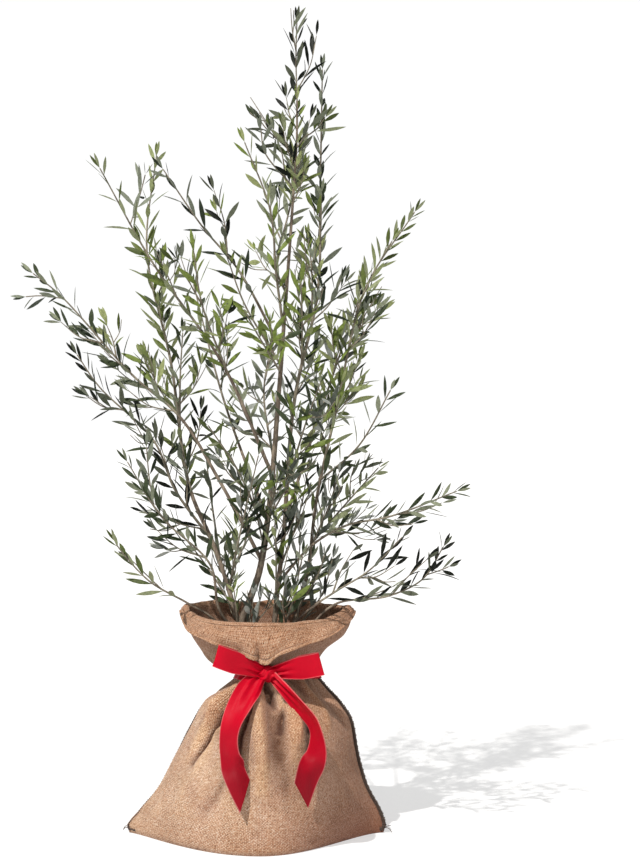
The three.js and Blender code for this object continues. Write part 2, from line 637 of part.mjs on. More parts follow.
// A leaf: eight faces, root and tip at its ends, widest a little before its middle
function leafSolid(root, direction, axis, length, twist) {
  const face = axis.clone().addScaledVector(direction, -axis.dot(direction)).normalize();
  face.applyAxisAngle(direction, twist);
  const across = direction.clone().cross(face);
  const blade = new THREE.OctahedronGeometry(1, 0);
  blade.scale(LEAF.width / 2, length / 2, LEAF.thick / 2);
  const place = new THREE.Matrix4().makeBasis(across, direction, face);
  place.setPosition(root.clone().addScaledVector(direction, length / 2));
  return solidOf(blade.applyMatrix4(place));
}

// Pairs of leaves along a shoot, each pair a quarter turn on from the last, and one leaf at its end
function dressShoot(owner, limb, curve, from, length, numbers, solids) {
  const first = LEAF.spacing * LEAF.first;
  const leafShare = THREE.MathUtils.clamp((limb.reach ?? SPACE.reach) / LEAF.fullReach, LEAF.leastShare, 1);
  const pairs = Math.max(1, Math.floor((length * (1 - from) - first) / LEAF.spacing) + 1);
  for (let pair = 0; pair < pairs; pair++) {
    const share = Math.min(LEAF.last, from + (first + pair * LEAF.spacing) / length);
    const root = curve.getPointAt(share);
    const axis = curve.getTangentAt(share);
    const turn = (pair % 2) * (Math.PI / 2) + numbers() * LEAF.turnSpread;
    for (const side of [0, Math.PI]) {
      const spread = radians(LEAF.spread * mix(LEAF.narrowest, LEAF.widest, numbers()));
      const grown = LEAF.length * mix(LEAF.least, LEAF.most, numbers());
      const size = grown * mix(1, LEAF.tipShare, share) * leafShare;
      const twist = radians(LEAF.twist * mix(-1, 1, numbers()));
      const direction = leaving(axis, turn + side, spread);
      addLeaf(owner, limb, root, direction, axis, size, twist, solids);
    }
  }
  const endAxis = curve.getTangentAt(1);
  const endRoot = curve.getPointAt(1).addScaledVector(endAxis, -TIP_ROOT);
  addLeaf(owner, limb, endRoot, endAxis, leaving(endAxis, 0, Math.PI / 2), TIP_LEAF + TIP_ROOT, 0, solids);
}

function addLeaf(owner, limb, root, direction, axis, size, twist, solids) {
  const start = root.clone().addScaledVector(direction, size * LEAF.rootShare);
  const end = root.clone().addScaledVector(direction, size);
  const radius = LEAF.width / LEAF.keepOut;
  if (!isInSpace(limb, end) || !isFree(owner, start, end, radius)) return;
  take(owner, start, end, radius);
  solids.push(leafSolid(root, direction, axis, size, twist));
}

// Side twigs along a limb's leafy part, each bending back towards the limb's own direction, with their leaves
function growTwigs(owner, limb, numbers, solids) {
  const from = limb.inParentMass ? 0 : limb.bare;
  const leafyLength = limb.length * (TWIG.last - from);
  const count = Math.max(0, Math.round(leafyLength / TWIG.spacing));
  for (let i = 0; i < count; i++) {
    const share = mix(from, TWIG.last, (i + 0.5) / count);
    const turn = radians(GOLDEN_TURN * i + TWIG.turnSpread * numbers() + TWIG.turnPerLimb * limb.seed);
    const length = TWIG.length * mix(1, TWIG.shortening, share) * mix(TWIG.least, TWIG.most, numbers());
    const root = limb.curve.getPointAt(share);
    const axis = limb.curve.getTangentAt(share);
    const out = leaving(axis, turn, radians(TWIG.spread));
    const elbow = root.clone().addScaledVector(out, length * TWIG.elbow);
    const bent = out.clone().lerp(axis, TWIG.bend).lerp(UP, TWIG.rise).normalize();
    const tip = elbow.clone().addScaledVector(bent, length * (1 - TWIG.elbow));
    if (!isFree(owner, root.clone().lerp(elbow, TWIG.freeFrom), elbow, TWIG.radius)) continue;
    if (!isInSpace(limb, tip) || !isFree(owner, elbow, tip, TWIG.radius)) continue;
    take(owner, root, elbow, TWIG.radius);
    take(owner, elbow, tip, TWIG.radius);
    const curve = new THREE.CatmullRomCurve3([root, elbow, tip], false, "centripetal");
    const footRadius = Math.min(TWIG.radius * TWIG.footShare, limb.radiusAt(share));
    const radiusAt = (along) => mix(footRadius, TWIG.radius * TWIG.tipShare, along);
    solids.push(solidOf(taperedTube(curve, radiusAt, LIMB.stemSides, 2)));
    dressShoot(owner, limb, curve, TWIG.start, length, numbers, solids);
  }
}

// Wood first, so that twigs and leaves keep clear of it
const leafyLimbs = [...limbs.values()].filter((limb) => limb.name !== "trunk");
takeCurve("trunk", limbs.get("trunk"), 0, 1, 24);
for (const limb of leafyLimbs) {
  const mass = massOf(limb);
  if (limb.bare > 0) takeCurve("bough_" + limb.name, limb, 0, limb.bare, 8);
  takeCurve("foliage_" + mass.name, limb, limb.inParentMass ? 0 : limb.bare, 1, 10);
}

const olive = new THREE.Group();
olive.name = "potted_olive_tree";
const COLOURS = {
  bark: [0x8a7f6c, 0.85], leaf: [0x6b7a4c, 0.6], burlap: [0xb08a62, 0.95], ribbon: [0xc4122e, 0.45],
  pot: [0x222324, 0.6], mix: [0x3a2a20, 1],
};
function addNode(name, geometry, finish) {
  const [color, roughness] = COLOURS[finish];
  const mesh = new THREE.Mesh(geometry, new THREE.MeshStandardMaterial({ color, roughness, metalness: 0 }));
  mesh.name = name;
  olive.add(mesh);
}

function boughSolid(limb, grow) {
  const segments = Math.max(3, Math.round((limb.length * limb.bare) / LIMB.segment));
  return solidOf(limbTube(limb, 0, limb.bare, grow, LIMB.sides, segments));
}

function trunkSolid(grow) {
  return solidOf(limbTube(limbs.get("trunk"), 0, 1, grow, TRUNK.sides, TRUNK.segments));
}

// Fatter copies of the limbs, that a child's foot is cut back from
function fatLimb(limb) {
  return limb.name === "trunk" ? trunkSolid(SEAT) : boughSolid(limb, SEAT);
}
const fatLimbs = new Map();
function fatOf(limb) {
  if (!fatLimbs.has(limb.name)) fatLimbs.set(limb.name, fatLimb(limb));
  return fatLimbs.get(limb.name);
}

addNode("sack", sackGeometry(), "burlap");
addNode("nursery_pot", potGeometry(), "pot");
addNode("potting_mix", mixGeometry(), "mix");
addNode("trunk", geometryOf(trunkSolid(0).trimByPlane([0, 0, 1], SOIL.top + CLEAR)), "bark");

for (const limb of leafyLimbs.filter((each) => each.bare > 0)) {
  const seated = boughSolid(limb, 0).subtract(fatOf(limb.parent));
  addNode("bough_" + limb.name, geometryOf(largestBody(seated)), "bark");
}

// Each mass is its limb's leafy stem, the forks that spring from it, and the twigs and leaves on them
for (const mass of leafyLimbs.filter((each) => !each.inParentMass)) {
  const owner = "foliage_" + mass.name;
  const numbers = seededNumbers(mass.seed * SEED_STEP);
  const members = leafyLimbs.filter((each) => massOf(each) === mass);
  const solids = [];
  for (const limb of members) {
    const from = stemStart(limb);
    const pieces = Math.max(3, Math.round((limb.length * (1 - from)) / LIMB.stemSegment));
    solids.push(solidOf(limbTube(limb, from, 1, 0, LIMB.stemSides, pieces)));
    growTwigs(owner, limb, numbers, solids);
    dressShoot(owner, limb, limb.curve, from, limb.length, numbers, solids);
  }
  let whole = wasm.Manifold.union(solids);
  if (mass.bare === 0) whole = whole.subtract(fatOf(mass.parent));
  addNode(owner, geometryOf(largestBody(whole)), "leaf");
}

// Bow: a band round the neck, the knot with its two loops, and two tails
const turnBack = new THREE.BoxGeometry(KNOT.size.x, TURN_BACK.deep, TURN_BACK.tall);
turnBack.translate(KNOT.at.x, TURN_BACK.y, NECK.z - TURN_BACK.underNeck);
const bowParts = [turnBack, knotGeometry(0), ...LOOPS.map(loopGeometry)].map(solidOf);
const bow = wasm.Manifold.union(bowParts).subtract(solidOf(bandGeometry(CLEAR)));
addNode("ribbon_band", bandGeometry(0), "ribbon");
addNode("ribbon_bow", geometryOf(largestBody(bow)), "ribbon");
for (const [side, tail] of Object.entries(TAILS)) {
  const cutSide = side === "left" ? 1 : -1;
  const cloth = solidOf(tailGeometry(tail, cutSide)).subtract(solidOf(knotGeometry(CLEAR)));
  addNode("ribbon_tail_" + side, geometryOf(largestBody(cloth)), "ribbon");
}

export default olive;
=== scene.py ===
"""A potted olive tree dressed for giving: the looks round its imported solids.

A young olive with several stems stands in a nursery pot. The pot is in a burlap sack whose mouth is turned
down as a collar, and a satin ribbon is tied in a bow round the sack's neck. Shapes are worked out in
millimetres, +Z up, front towards -Y, and turned into metres as each mesh is made. The limbs are those of the
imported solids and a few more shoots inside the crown, and a seeded rule carries them on to fine twigs and to
leaves of their real size.
"""

import json
import logging
import math
from collections.abc import Sequence
from dataclasses import astuple, dataclass, field, replace
from enum import Enum
from typing import NamedTuple

import bpy
import numpy as np
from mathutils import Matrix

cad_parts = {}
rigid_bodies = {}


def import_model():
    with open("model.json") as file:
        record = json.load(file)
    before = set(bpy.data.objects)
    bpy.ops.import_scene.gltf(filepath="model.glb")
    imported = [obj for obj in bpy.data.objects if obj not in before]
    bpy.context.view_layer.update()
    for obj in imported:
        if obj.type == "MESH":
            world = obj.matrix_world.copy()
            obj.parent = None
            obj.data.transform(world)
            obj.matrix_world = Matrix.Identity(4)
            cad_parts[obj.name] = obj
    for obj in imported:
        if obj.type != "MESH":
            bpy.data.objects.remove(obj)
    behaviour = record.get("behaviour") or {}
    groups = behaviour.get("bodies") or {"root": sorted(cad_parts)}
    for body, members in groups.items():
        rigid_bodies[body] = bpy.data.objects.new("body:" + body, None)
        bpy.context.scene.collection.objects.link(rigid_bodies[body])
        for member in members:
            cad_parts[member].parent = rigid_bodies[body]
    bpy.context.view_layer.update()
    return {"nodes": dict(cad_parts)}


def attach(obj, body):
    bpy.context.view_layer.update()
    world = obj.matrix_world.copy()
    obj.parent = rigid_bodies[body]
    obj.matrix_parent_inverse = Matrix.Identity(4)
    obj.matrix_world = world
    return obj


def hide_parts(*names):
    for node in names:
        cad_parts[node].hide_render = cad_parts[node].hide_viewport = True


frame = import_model()

LOG = logging.getLogger("olive")
MM = 0.001
FULL_TURN = 2 * math.pi
UP = np.array([0.0, 0.0, 1.0])
NOISE_SIZE = 256
Array = np.ndarray
Number = float | Array
Place = tuple[float, float, float]
Row = tuple[float, ...]
Waves = tuple[tuple[float, int, int, int], ...]
Material = bpy.types.Material
Piece = bpy.types.Object
Socket = bpy.types.NodeSocket


def mix(low: Number, high: Number, share: Number) -> Number:
    """Goes from low to high by a share."""
    return low + (high - low) * share


def ease(low: float, high: float, value: Number) -> Number:
    """Goes from 0 at low to 1 at high with level ends: three times the square less twice the cube."""
    share = np.clip((value - low) / (high - low), 0.0, 1.0)
    return share * share * (3.0 - 2.0 * share)


def unit(vectors: Array) -> Array:
    """Scales vectors to a length of one."""
    return vectors / np.maximum(np.linalg.norm(vectors, axis=-1, keepdims=True), 1e-9)


def bell(away: Number, width: float) -> Number:
    """Gives 1 at the middle, fading on both sides: e to minus the square of the distance over the width."""
    return np.exp(-((away / width) ** 2))


def spokes(turn: Array) -> Array:
    """Gives the level direction at each turn in degrees: 0 is right, 90 back and 270 front."""
    return np.stack([np.cos(np.radians(turn)), np.sin(np.radians(turn)), 0 * turn], axis=-1)


def distance_along(places: Array) -> Array:
    """Gives how far each place lies along a row of places, or each ring along rings, by their mean steps."""
    steps = np.linalg.norm(np.diff(places, axis=0), axis=-1)
    return np.concatenate([[0.0], np.cumsum(steps if steps.ndim == 1 else steps.mean(axis=1))])


def smooth_through(stations: Sequence[float], values: Sequence[float], at: Number) -> Array:
    """Runs a smooth line of cubics through values without swinging past them.

    The slope at a station is the harmonic mean of the slopes on both sides, or level where they turn round.

    Args:
        stations: Where the values stand, rising.
        values: The value at each station.
        at: Where the line is wanted.

    Returns:
        The line's values there.
    """
    x, y = np.asarray(stations, float), np.asarray(values, float)
    slope = np.diff(y) / np.diff(x)
    tangent = np.zeros_like(y)
    before, after = slope[:-1], slope[1:]
    rising = before * after > 0
    tangent[1:-1][rising] = 2 * before[rising] * after[rising] / (before[rising] + after[rising])
    tangent[0], tangent[-1] = slope[0], slope[-1]
    index = np.clip(np.searchsorted(x, at, side="right") - 1, 0, len(x) - 2)
    gap = x[index + 1] - x[index]
    t = np.clip((at - x[index]) / gap, 0.0, 1.0)
    low = (1 + 2 * t) * (1 - t) ** 2 * y[index] + t * (1 - t) ** 2 * gap * tangent[index]
    high = t * t * (3 - 2 * t) * y[index + 1] + t * t * (t - 1) * gap * tangent[index + 1]
    return low + high


def bumps(x: Array, y: Array, seed: int, wrap: int = NOISE_SIZE) -> Array:
    """Gives soft bumps from -1 to 1: seeded heights on whole places, blended by a smooth step between them.

    Args:
        x: First coordinate.
        y: Second coordinate.
        seed: Picks the heights.
        wrap: Whole number of places after which x repeats.

    Returns:
        The height at each place.
    """
    heights = np.random.default_rng(seed).uniform(-1, 1, (NOISE_SIZE, NOISE_SIZE))
    column, row = np.floor(x).astype(int), np.floor(y).astype(int)
    across, down = ease(0, 1, x - column), ease(0, 1, y - row)
    left, right = column % wrap, (column + 1) % wrap
    top, bottom = row % NOISE_SIZE, (row + 1) % NOISE_SIZE
    return mix(
        mix(heights[left, top], heights[right, top], across),
        mix(heights[left, bottom], heights[right, bottom], across),
        down,
    )


class SeededNumbers:
    """Numbers from 0 to 1 that are the same on every run: a linear congruential row."""

    FACTOR = 1664525
    ADDED = 1013904223
    SPAN = 1 << 32

    def __init__(self, seed: int) -> None:
        """Starts the row at a seed."""
        self.state = seed % self.SPAN

    def __call__(self) -> float:
        """Steps the state on by a factor and an addition, within the span, and gives its share of it."""
        self.state = (self.state * self.FACTOR + self.ADDED) % self.SPAN
        return self.state / self.SPAN


def around(axis: Array, vector: Array, angle: float) -> Array:
    """Turns a vector about an axis of length one: its part along the axis stays, and the rest goes round."""
    along = np.dot(axis, vector) * axis
    return along + (vector - along) * math.cos(angle) + np.cross(axis, vector) * math.sin(angle)


def leaving(axis: Array, turn: float, angle: float) -> Array:
    """Gives the direction that leaves an axis: the angle's cosine along it and its sine straight outwards.

    Args:
        axis: The axis, of length one.
        turn: The turn round the axis.
        angle: The angle away from it.

    Returns:
        The direction, of length one.
    """
    side = np.array([1.0, 0.0, 0.0]) if abs(axis[2]) > 0.9 else UP
    across = unit(np.cross(side, axis))
    upright = np.cross(axis, across)
    out = across * math.cos(turn) + upright * math.sin(turn)
    return unit(axis * math.cos(angle) + out * math.sin(angle))


class Way:
    """A smooth way through places, measured along its length: a centripetal Catmull-Rom curve."""

    STEPS = 24

    def __init__(self, places: Sequence[Sequence[float]]) -> None:
        """Lays the way: a cubic between each two places, in steps that are the root of their distance.

        The slope at a place is the sum of the slopes on both sides of it, less the slope across both.

        Args:
            places: The places it goes through, from start to end.
        """
        p = np.asarray(places, float)
        p = np.vstack([2 * p[0] - p[1], p, 2 * p[-1] - p[-2]])
        gap = np.maximum(np.linalg.norm(np.diff(p, axis=0), axis=1) ** 0.5, 1e-6)[:, None]
        slope = np.diff(p, axis=0) / gap
        wide = (p[2:] - p[:-2]) / (gap[1:] + gap[:-1])
        bend = slope[:-1] - wide + slope[1:]
        start, end = p[1:-2], p[2:-1]
        leave, arrive = bend[:-1] * gap[1:-1], bend[1:] * gap[1:-1]
        t = np.linspace(0, 1, self.STEPS, endpoint=False)[:, None, None]
        rows = (
            (2 * t**3 - 3 * t**2 + 1) * start
            + (t**3 - 2 * t**2 + t) * leave
            + (3 * t**2 - 2 * t**3) * end
            + (t**3 - t**2) * arrive
        )
        self.places = np.vstack([rows.transpose(1, 0, 2).reshape(-1, 3), p[-2]])
        self.shares = distance_along(self.places)
        self.length = float(self.shares[-1])
        self.shares /= self.length

    def at(self, share: Number) -> Array:
        """Gives the place at a share of the length."""
        return np.stack([np.interp(share, self.shares, self.places[:, k]) for k in range(3)], axis=-1)

    def heading(self, share: Number) -> Array:
        """Gives the direction at a share of the length, from just before it to just past it."""
        step = min(0.01, 1.5 / self.length)
        return unit(self.at(np.minimum(share + step, 1)) - self.at(np.maximum(share - step, 0)))

    def by_station(self, station: Array) -> Array:
        """Turns shares that count the given places evenly into shares of the length."""
        return np.interp(station, np.linspace(0, 1, len(self.shares)), self.shares)

    def at_height(self, z: float) -> float:
        """Gives the share at which a rising way reaches a height."""
        return float(np.interp(z, self.places[:, 2], self.shares))


def placed(name: str, data: object) -> Piece:
    """Puts a mesh, a light or a camera into the scene as an object.

    Args:
        name: The object's name.
        data: The mesh, the light or the camera.

    Returns:
        The object.
    """
    made = bpy.data.objects.new(name, data)
    bpy.context.scene.collection.objects.link(made)
    return made


@dataclass(frozen=True)
class Surface:
    """A mesh as arrays: places and UV in millimetres, triangles and their finishes, a painted shade by place.
    """

    places: Array
    faces: Array
    uv: Array | None = None
    finish: Array | None = None
    shade: Array | None = None

    @staticmethod
    def joined(parts: Sequence["Surface"]) -> "Surface":
        """Joins surfaces that have UV into one.

        Args:
            parts: The surfaces.

        Returns:
            The joined surface.
        """
        starts = np.cumsum([0] + [len(part.places) for part in parts[:-1]])
        places = np.vstack([part.places for part in parts])
        faces = np.vstack([part.faces + start for part, start in zip(parts, starts)])
        return Surface(places, faces, np.vstack([part.uv for part in parts]))

    def made(self, name: str, materials: Sequence[Material], sharp: float | None = None) -> Piece:
        """Makes the Blender object, in metres, with smooth shading.

        Args:
            name: The piece's name.
            materials: Its finishes, in the order that `finish` counts them.
            sharp: The angle in degrees past which an edge stays sharp, or None for a smooth mesh.

        Returns:
            The object.
        """
        mesh = bpy.data.meshes.new(name)
        mesh.vertices.add(len(self.places))
        mesh.vertices.foreach_set("co", (self.places * MM).astype(np.float32).ravel())
        mesh.loops.add(self.faces.size)
        mesh.loops.foreach_set("vertex_index", self.faces.astype(np.int32).ravel())
        mesh.polygons.add(len(self.faces))
        mesh.polygons.foreach_set("loop_start", np.arange(0, self.faces.size, 3, dtype=np.int32))
        if self.finish is not None:
            mesh.polygons.foreach_set("material_index", self.finish.astype(np.int32))
        if self.uv is not None:
            layer = mesh.uv_layers.new(name="cloth")
            layer.data.foreach_set("uv", self.uv.astype(np.float32).ravel())
        # The painted shade goes into a point attribute, which the burlap material reads.
        if self.shade is not None:
            depth = mesh.attributes.new("shade", "FLOAT", "POINT")
            depth.data.foreach_set("value", self.shade.astype(np.float32))
        mesh.update(calc_edges=True)
        mesh.validate()
        mesh.shade_smooth()
        if sharp is not None:
            mesh.set_sharp_from_angle(angle=math.radians(sharp))
        for material in materials:
            mesh.materials.append(material)
        return placed(name, mesh)


def quad_faces(a: Array, b: Array, c: Array, d: Array) -> Array:
    """Cuts quads, given by their four rows of corners, into two triangles each."""
    return np.concatenate([np.stack([a, b, c], -1).reshape(-1, 3), np.stack([a, c, d], -1).reshape(-1, 3)])


def quad_uv(u: Array, v: Array) -> Array:
    """Lays the UV of a grid of quads, triangle by triangle in the order of `quad_faces`.

    Args:
        u: Distance across the cloth at each turn, with one more for the way round.
        v: Distance along the cloth at each ring.

    Returns:
        Each triangle's three places on the cloth, in a row.
    """
    u0, v0 = np.meshgrid(u[:-1], v[:-1])
    u1, v1 = np.meshgrid(u[1:], v[1:])
    first, second = np.stack([u0, v0, u1, v0, u1, v1], -1), np.stack([u0, v0, u1, v1, u0, v1], -1)
    return np.concatenate([first.reshape(-1, 6), second.reshape(-1, 6)])


def ring_shell(
    rings: Array, start: Array, end: Array, u: Array | None = None, v: Array | None = None
) -> Surface:
    """Joins rings into a closed surface that a point shuts at both ends.

    Quads, each cut into two triangles, join neighbouring rings. The rings turn to the left as seen from the
    end, so that the faces point outwards.

    Args:
        rings: Places by ring and by turn.
        start: The point before the first ring.
        end: The point past the last ring.
        u: Distance across the cloth at each turn, with one more for the way round.
        v: Distance along the cloth at each ring.

    Returns:
        The surface.
    """
    rows, turns = rings.shape[:2]
    i, j = np.arange(turns), np.arange(rows - 1)[:, None]
    onward = (i + 1) % turns
    a, b = 1 + j * turns + i, 1 + j * turns + onward
    c, d = b + turns, a + turns
    last = 1 + rows * turns
    low = np.stack([np.zeros(turns, int), 1 + onward, 1 + i], axis=-1)
    high = np.stack([np.full(turns, last), last - turns + i, last - turns + onward], axis=-1)
    faces = np.vstack([low, quad_faces(a, b, c, d), high])
    places = np.vstack([start[None], rings.reshape(-1, 3), end[None]])
    if u is None:
        return Surface(places, faces)
    first, final = np.full(turns, v[0]), np.full(turns, v[-1])
    low_uv = np.stack([u[:-1], first, u[1:], first, u[:-1], first], -1)
    high_uv = np.stack([u[:-1], final, u[:-1], final, u[1:], final], -1)
    return Surface(places, faces, np.concatenate([low_uv, quad_uv(u, v), high_uv]).reshape(-1, 3, 2))


def hoop_shell(rings: Array, u: Array, v: Array) -> Surface:
    """Joins rings into a closed surface that comes round to its first ring, as a tyre does.

    Args:
        rings: Places by ring and by turn.
        u: Distance across the cloth at each turn, with one more for the way round.
        v: Distance along the cloth at each ring, with one more for the way round.

    Returns:
        The surface.
    """
    rows, turns = rings.shape[:2]
    i, j = np.arange(turns)[None], np.arange(rows)[:, None]
    up, onward = (j + 1) % rows, (i + 1) % turns
    faces = quad_faces(j * turns + i, j * turns + onward, up * turns + onward, up * turns + i)
    return Surface(rings.reshape(-1, 3), faces, quad_uv(u, v).reshape(-1, 3, 2))


def grid_normals(grid: Array) -> Array:
    """Gives the outward directions of a grid of rings: its step round crossed with its step up."""
    round_step = np.roll(grid, -1, axis=1) - np.roll(grid, 1, axis=1)
    return unit(np.cross(round_step, np.gradient(grid, axis=0)))


def tube(way: Way, shares: Array, radii: Array, sides: int) -> Surface:
    """Makes a closed tube: rings square to a way, each carried on from the last with no twist.

    Args:
        way: The tube's middle line.
        shares: Where the rings stand along it.
        radii: The radius at each ring, or at each ring and each side.
        sides: Points in a ring.

    Returns:
        The tube. Its UV is the distance round and along.
    """
    centres, headings = way.at(shares), way.heading(shares)
    radii = np.broadcast_to(radii[:, None] if radii.ndim == 1 else radii, (len(shares), sides))
    sideways = np.empty_like(centres)
    carried = leaving(headings[0], 0.0, math.pi / 2)
    for k, ahead in enumerate(headings):
        carried = unit(carried - ahead * np.dot(carried, ahead))
        sideways[k] = carried
    upright = np.cross(headings, sideways)
    turns = np.linspace(0, FULL_TURN, sides, endpoint=False)[None, :, None]
    outward = np.cos(turns) * sideways[:, None] + np.sin(turns) * upright[:, None]
    rings = centres[:, None] + radii[..., None] * outward
    end = centres[-1] + headings[-1] * radii[-1].mean() * 0.8
    girth = FULL_TURN * float(radii.mean())
    return ring_shell(rings, centres[0], end, np.linspace(0, girth, sides + 1), shares * way.length)


def paint(code: int) -> Row:
    """Turns a colour code into Blender's linear colour, by the sRGB curve.

    Args:
        code: Red, green and blue, such as 0x8A9A4A.

    Returns:
        The linear colour, with full cover.
    """
    parts = np.array([code >> 16 & 255, code >> 8 & 255, code & 255]) / 255
    linear = np.where(parts <= 0.04045, parts / 12.92, ((parts + 0.055) / 1.055) ** 2.4)
    return (*(float(part) for part in linear), 1.0)


class Sketch:
    """Draws one material's nodes round its shader."""

    def __init__(self, name: str) -> None:
        """Starts a material with a plain shader.

        Args:
            name: The material's name.
        """
        self.material = bpy.data.materials.new(name)
        self.material.use_nodes = True
        self.tree = self.material.node_tree
        self.shader = self.tree.nodes["Principled BSDF"]

    def node(self, kind: str, inputs: dict | None = None, **settings: object) -> bpy.types.Node:
        """Adds a node.

        Args:
            kind: Its Blender type, without the ShaderNode in front.
            inputs: What goes into each input: a value or another node's output.
            settings: The node's own settings.

        Returns:
            The node.
        """
        made = self.tree.nodes.new("ShaderNode" + kind)
        for key, value in settings.items():
            setattr(made, key, value)
        for key, value in (inputs or {}).items():
            self.put(made.inputs[key], value)
        return made

    def put(self, socket: Socket, value: object) -> None:
        """Links an output into a socket, or sets the socket to a plain value.

        Args:
            socket: The socket.
            value: The output or the value.
        """
        if isinstance(value, Socket):
            self.tree.links.new(value, socket)
        else:
            socket.default_value = value

    def math(self, operation: str, *values: object) -> Socket:
        """Adds one step of arithmetic and gives its output."""
        return self.node("Math", dict(enumerate(values)), operation=operation).outputs[0]

    def noise(self, vector: object, scale: float, detail: float = 3.0, rough: float = 0.55) -> Socket:
        """Adds a noise pattern and gives its height."""
        inputs = {"Vector": vector, "Scale": scale, "Detail": detail, "Roughness": rough}
        return self.node("TexNoise", inputs).outputs[0]

    def place(self, scale: Place = (1, 1, 1), uv: bool = False) -> Socket:
        """Gives the place on the piece: its object coordinates or its UV map, scaled."""
        source = self.node("TexCoord").outputs["UV" if uv else "Object"]
        return self.node("Mapping", {"Vector": source, "Scale": scale}).outputs[0]

    def axes(self, uv: bool = False) -> Sequence[Socket]:
        """Gives the place's coordinates one by one."""
        return self.node("SeparateXYZ", {0: self.place(uv=uv)}).outputs[:]

    def ramp(self, value: object, stops: Sequence[tuple[float, tuple | int]]) -> Socket:
        """Adds a colour ramp.

        Args:
            value: What runs along the ramp, from 0 to 1.
            stops: Each stop's place and colour, which is a code or a linear colour.

        Returns:
            The ramp's colour.
        """
        made = self.node("ValToRGB", {0: value})
        elements = made.color_ramp.elements
        while len(elements) < len(stops):
            elements.new(0.5)
        for element, (place, colour) in zip(elements, stops):
            element.position = place
            element.color = paint(colour) if isinstance(colour, int) else colour
        return made.outputs[0]

    def blend(self, share: object, low: object, high: object, how: str = "MIX") -> Socket:
        """Mixes two colours by a share."""
        return self.node("Mix", {0: share, 6: low, 7: high}, data_type="RGBA", blend_type=how).outputs[2]

    def fade(self, value: object, start: float, end: float, most: float = 1.0) -> Socket:
        """Goes from 0 where a value is at start to most where it is at end."""
        return self.node("MapRange", {0: value, 1: start, 2: end, 4: most}).outputs[0]

    def spread(self, value: object, low: float, high: float) -> Socket:
        """Maps a value from 0 to 1 onto low to high."""
        return self.node("MapRange", {0: value, 3: low, 4: high}).outputs[0]

    def relief(self, height: object, distance: float, strength: float = 1.0) -> None:
        """Presses a height pattern into the surface's shading; the distance is in metres."""
        bump = self.node("Bump", {"Height": height, "Distance": distance, "Strength": strength})
        self.put(self.shader.inputs["Normal"], bump.outputs[0])

    def finished(self, colour: object, rough: object, **constants: float | tuple) -> Material:
        """Sets colour and roughness, and constants on the shader's own sockets.

        Args:
            colour: The base colour, plain or from a node.
            rough: The roughness, plain or from a node.
            constants: Other sockets' values, with underscores for the spaces in their names.

        Returns:
            The material.
        """
        self.put(self.shader.inputs["Base Color"], colour)
        self.put(self.shader.inputs["Roughness"], rough)
        for name, value in constants.items():
            self.shader.inputs[name.replace("_", " ")].default_value = value
        return self.material


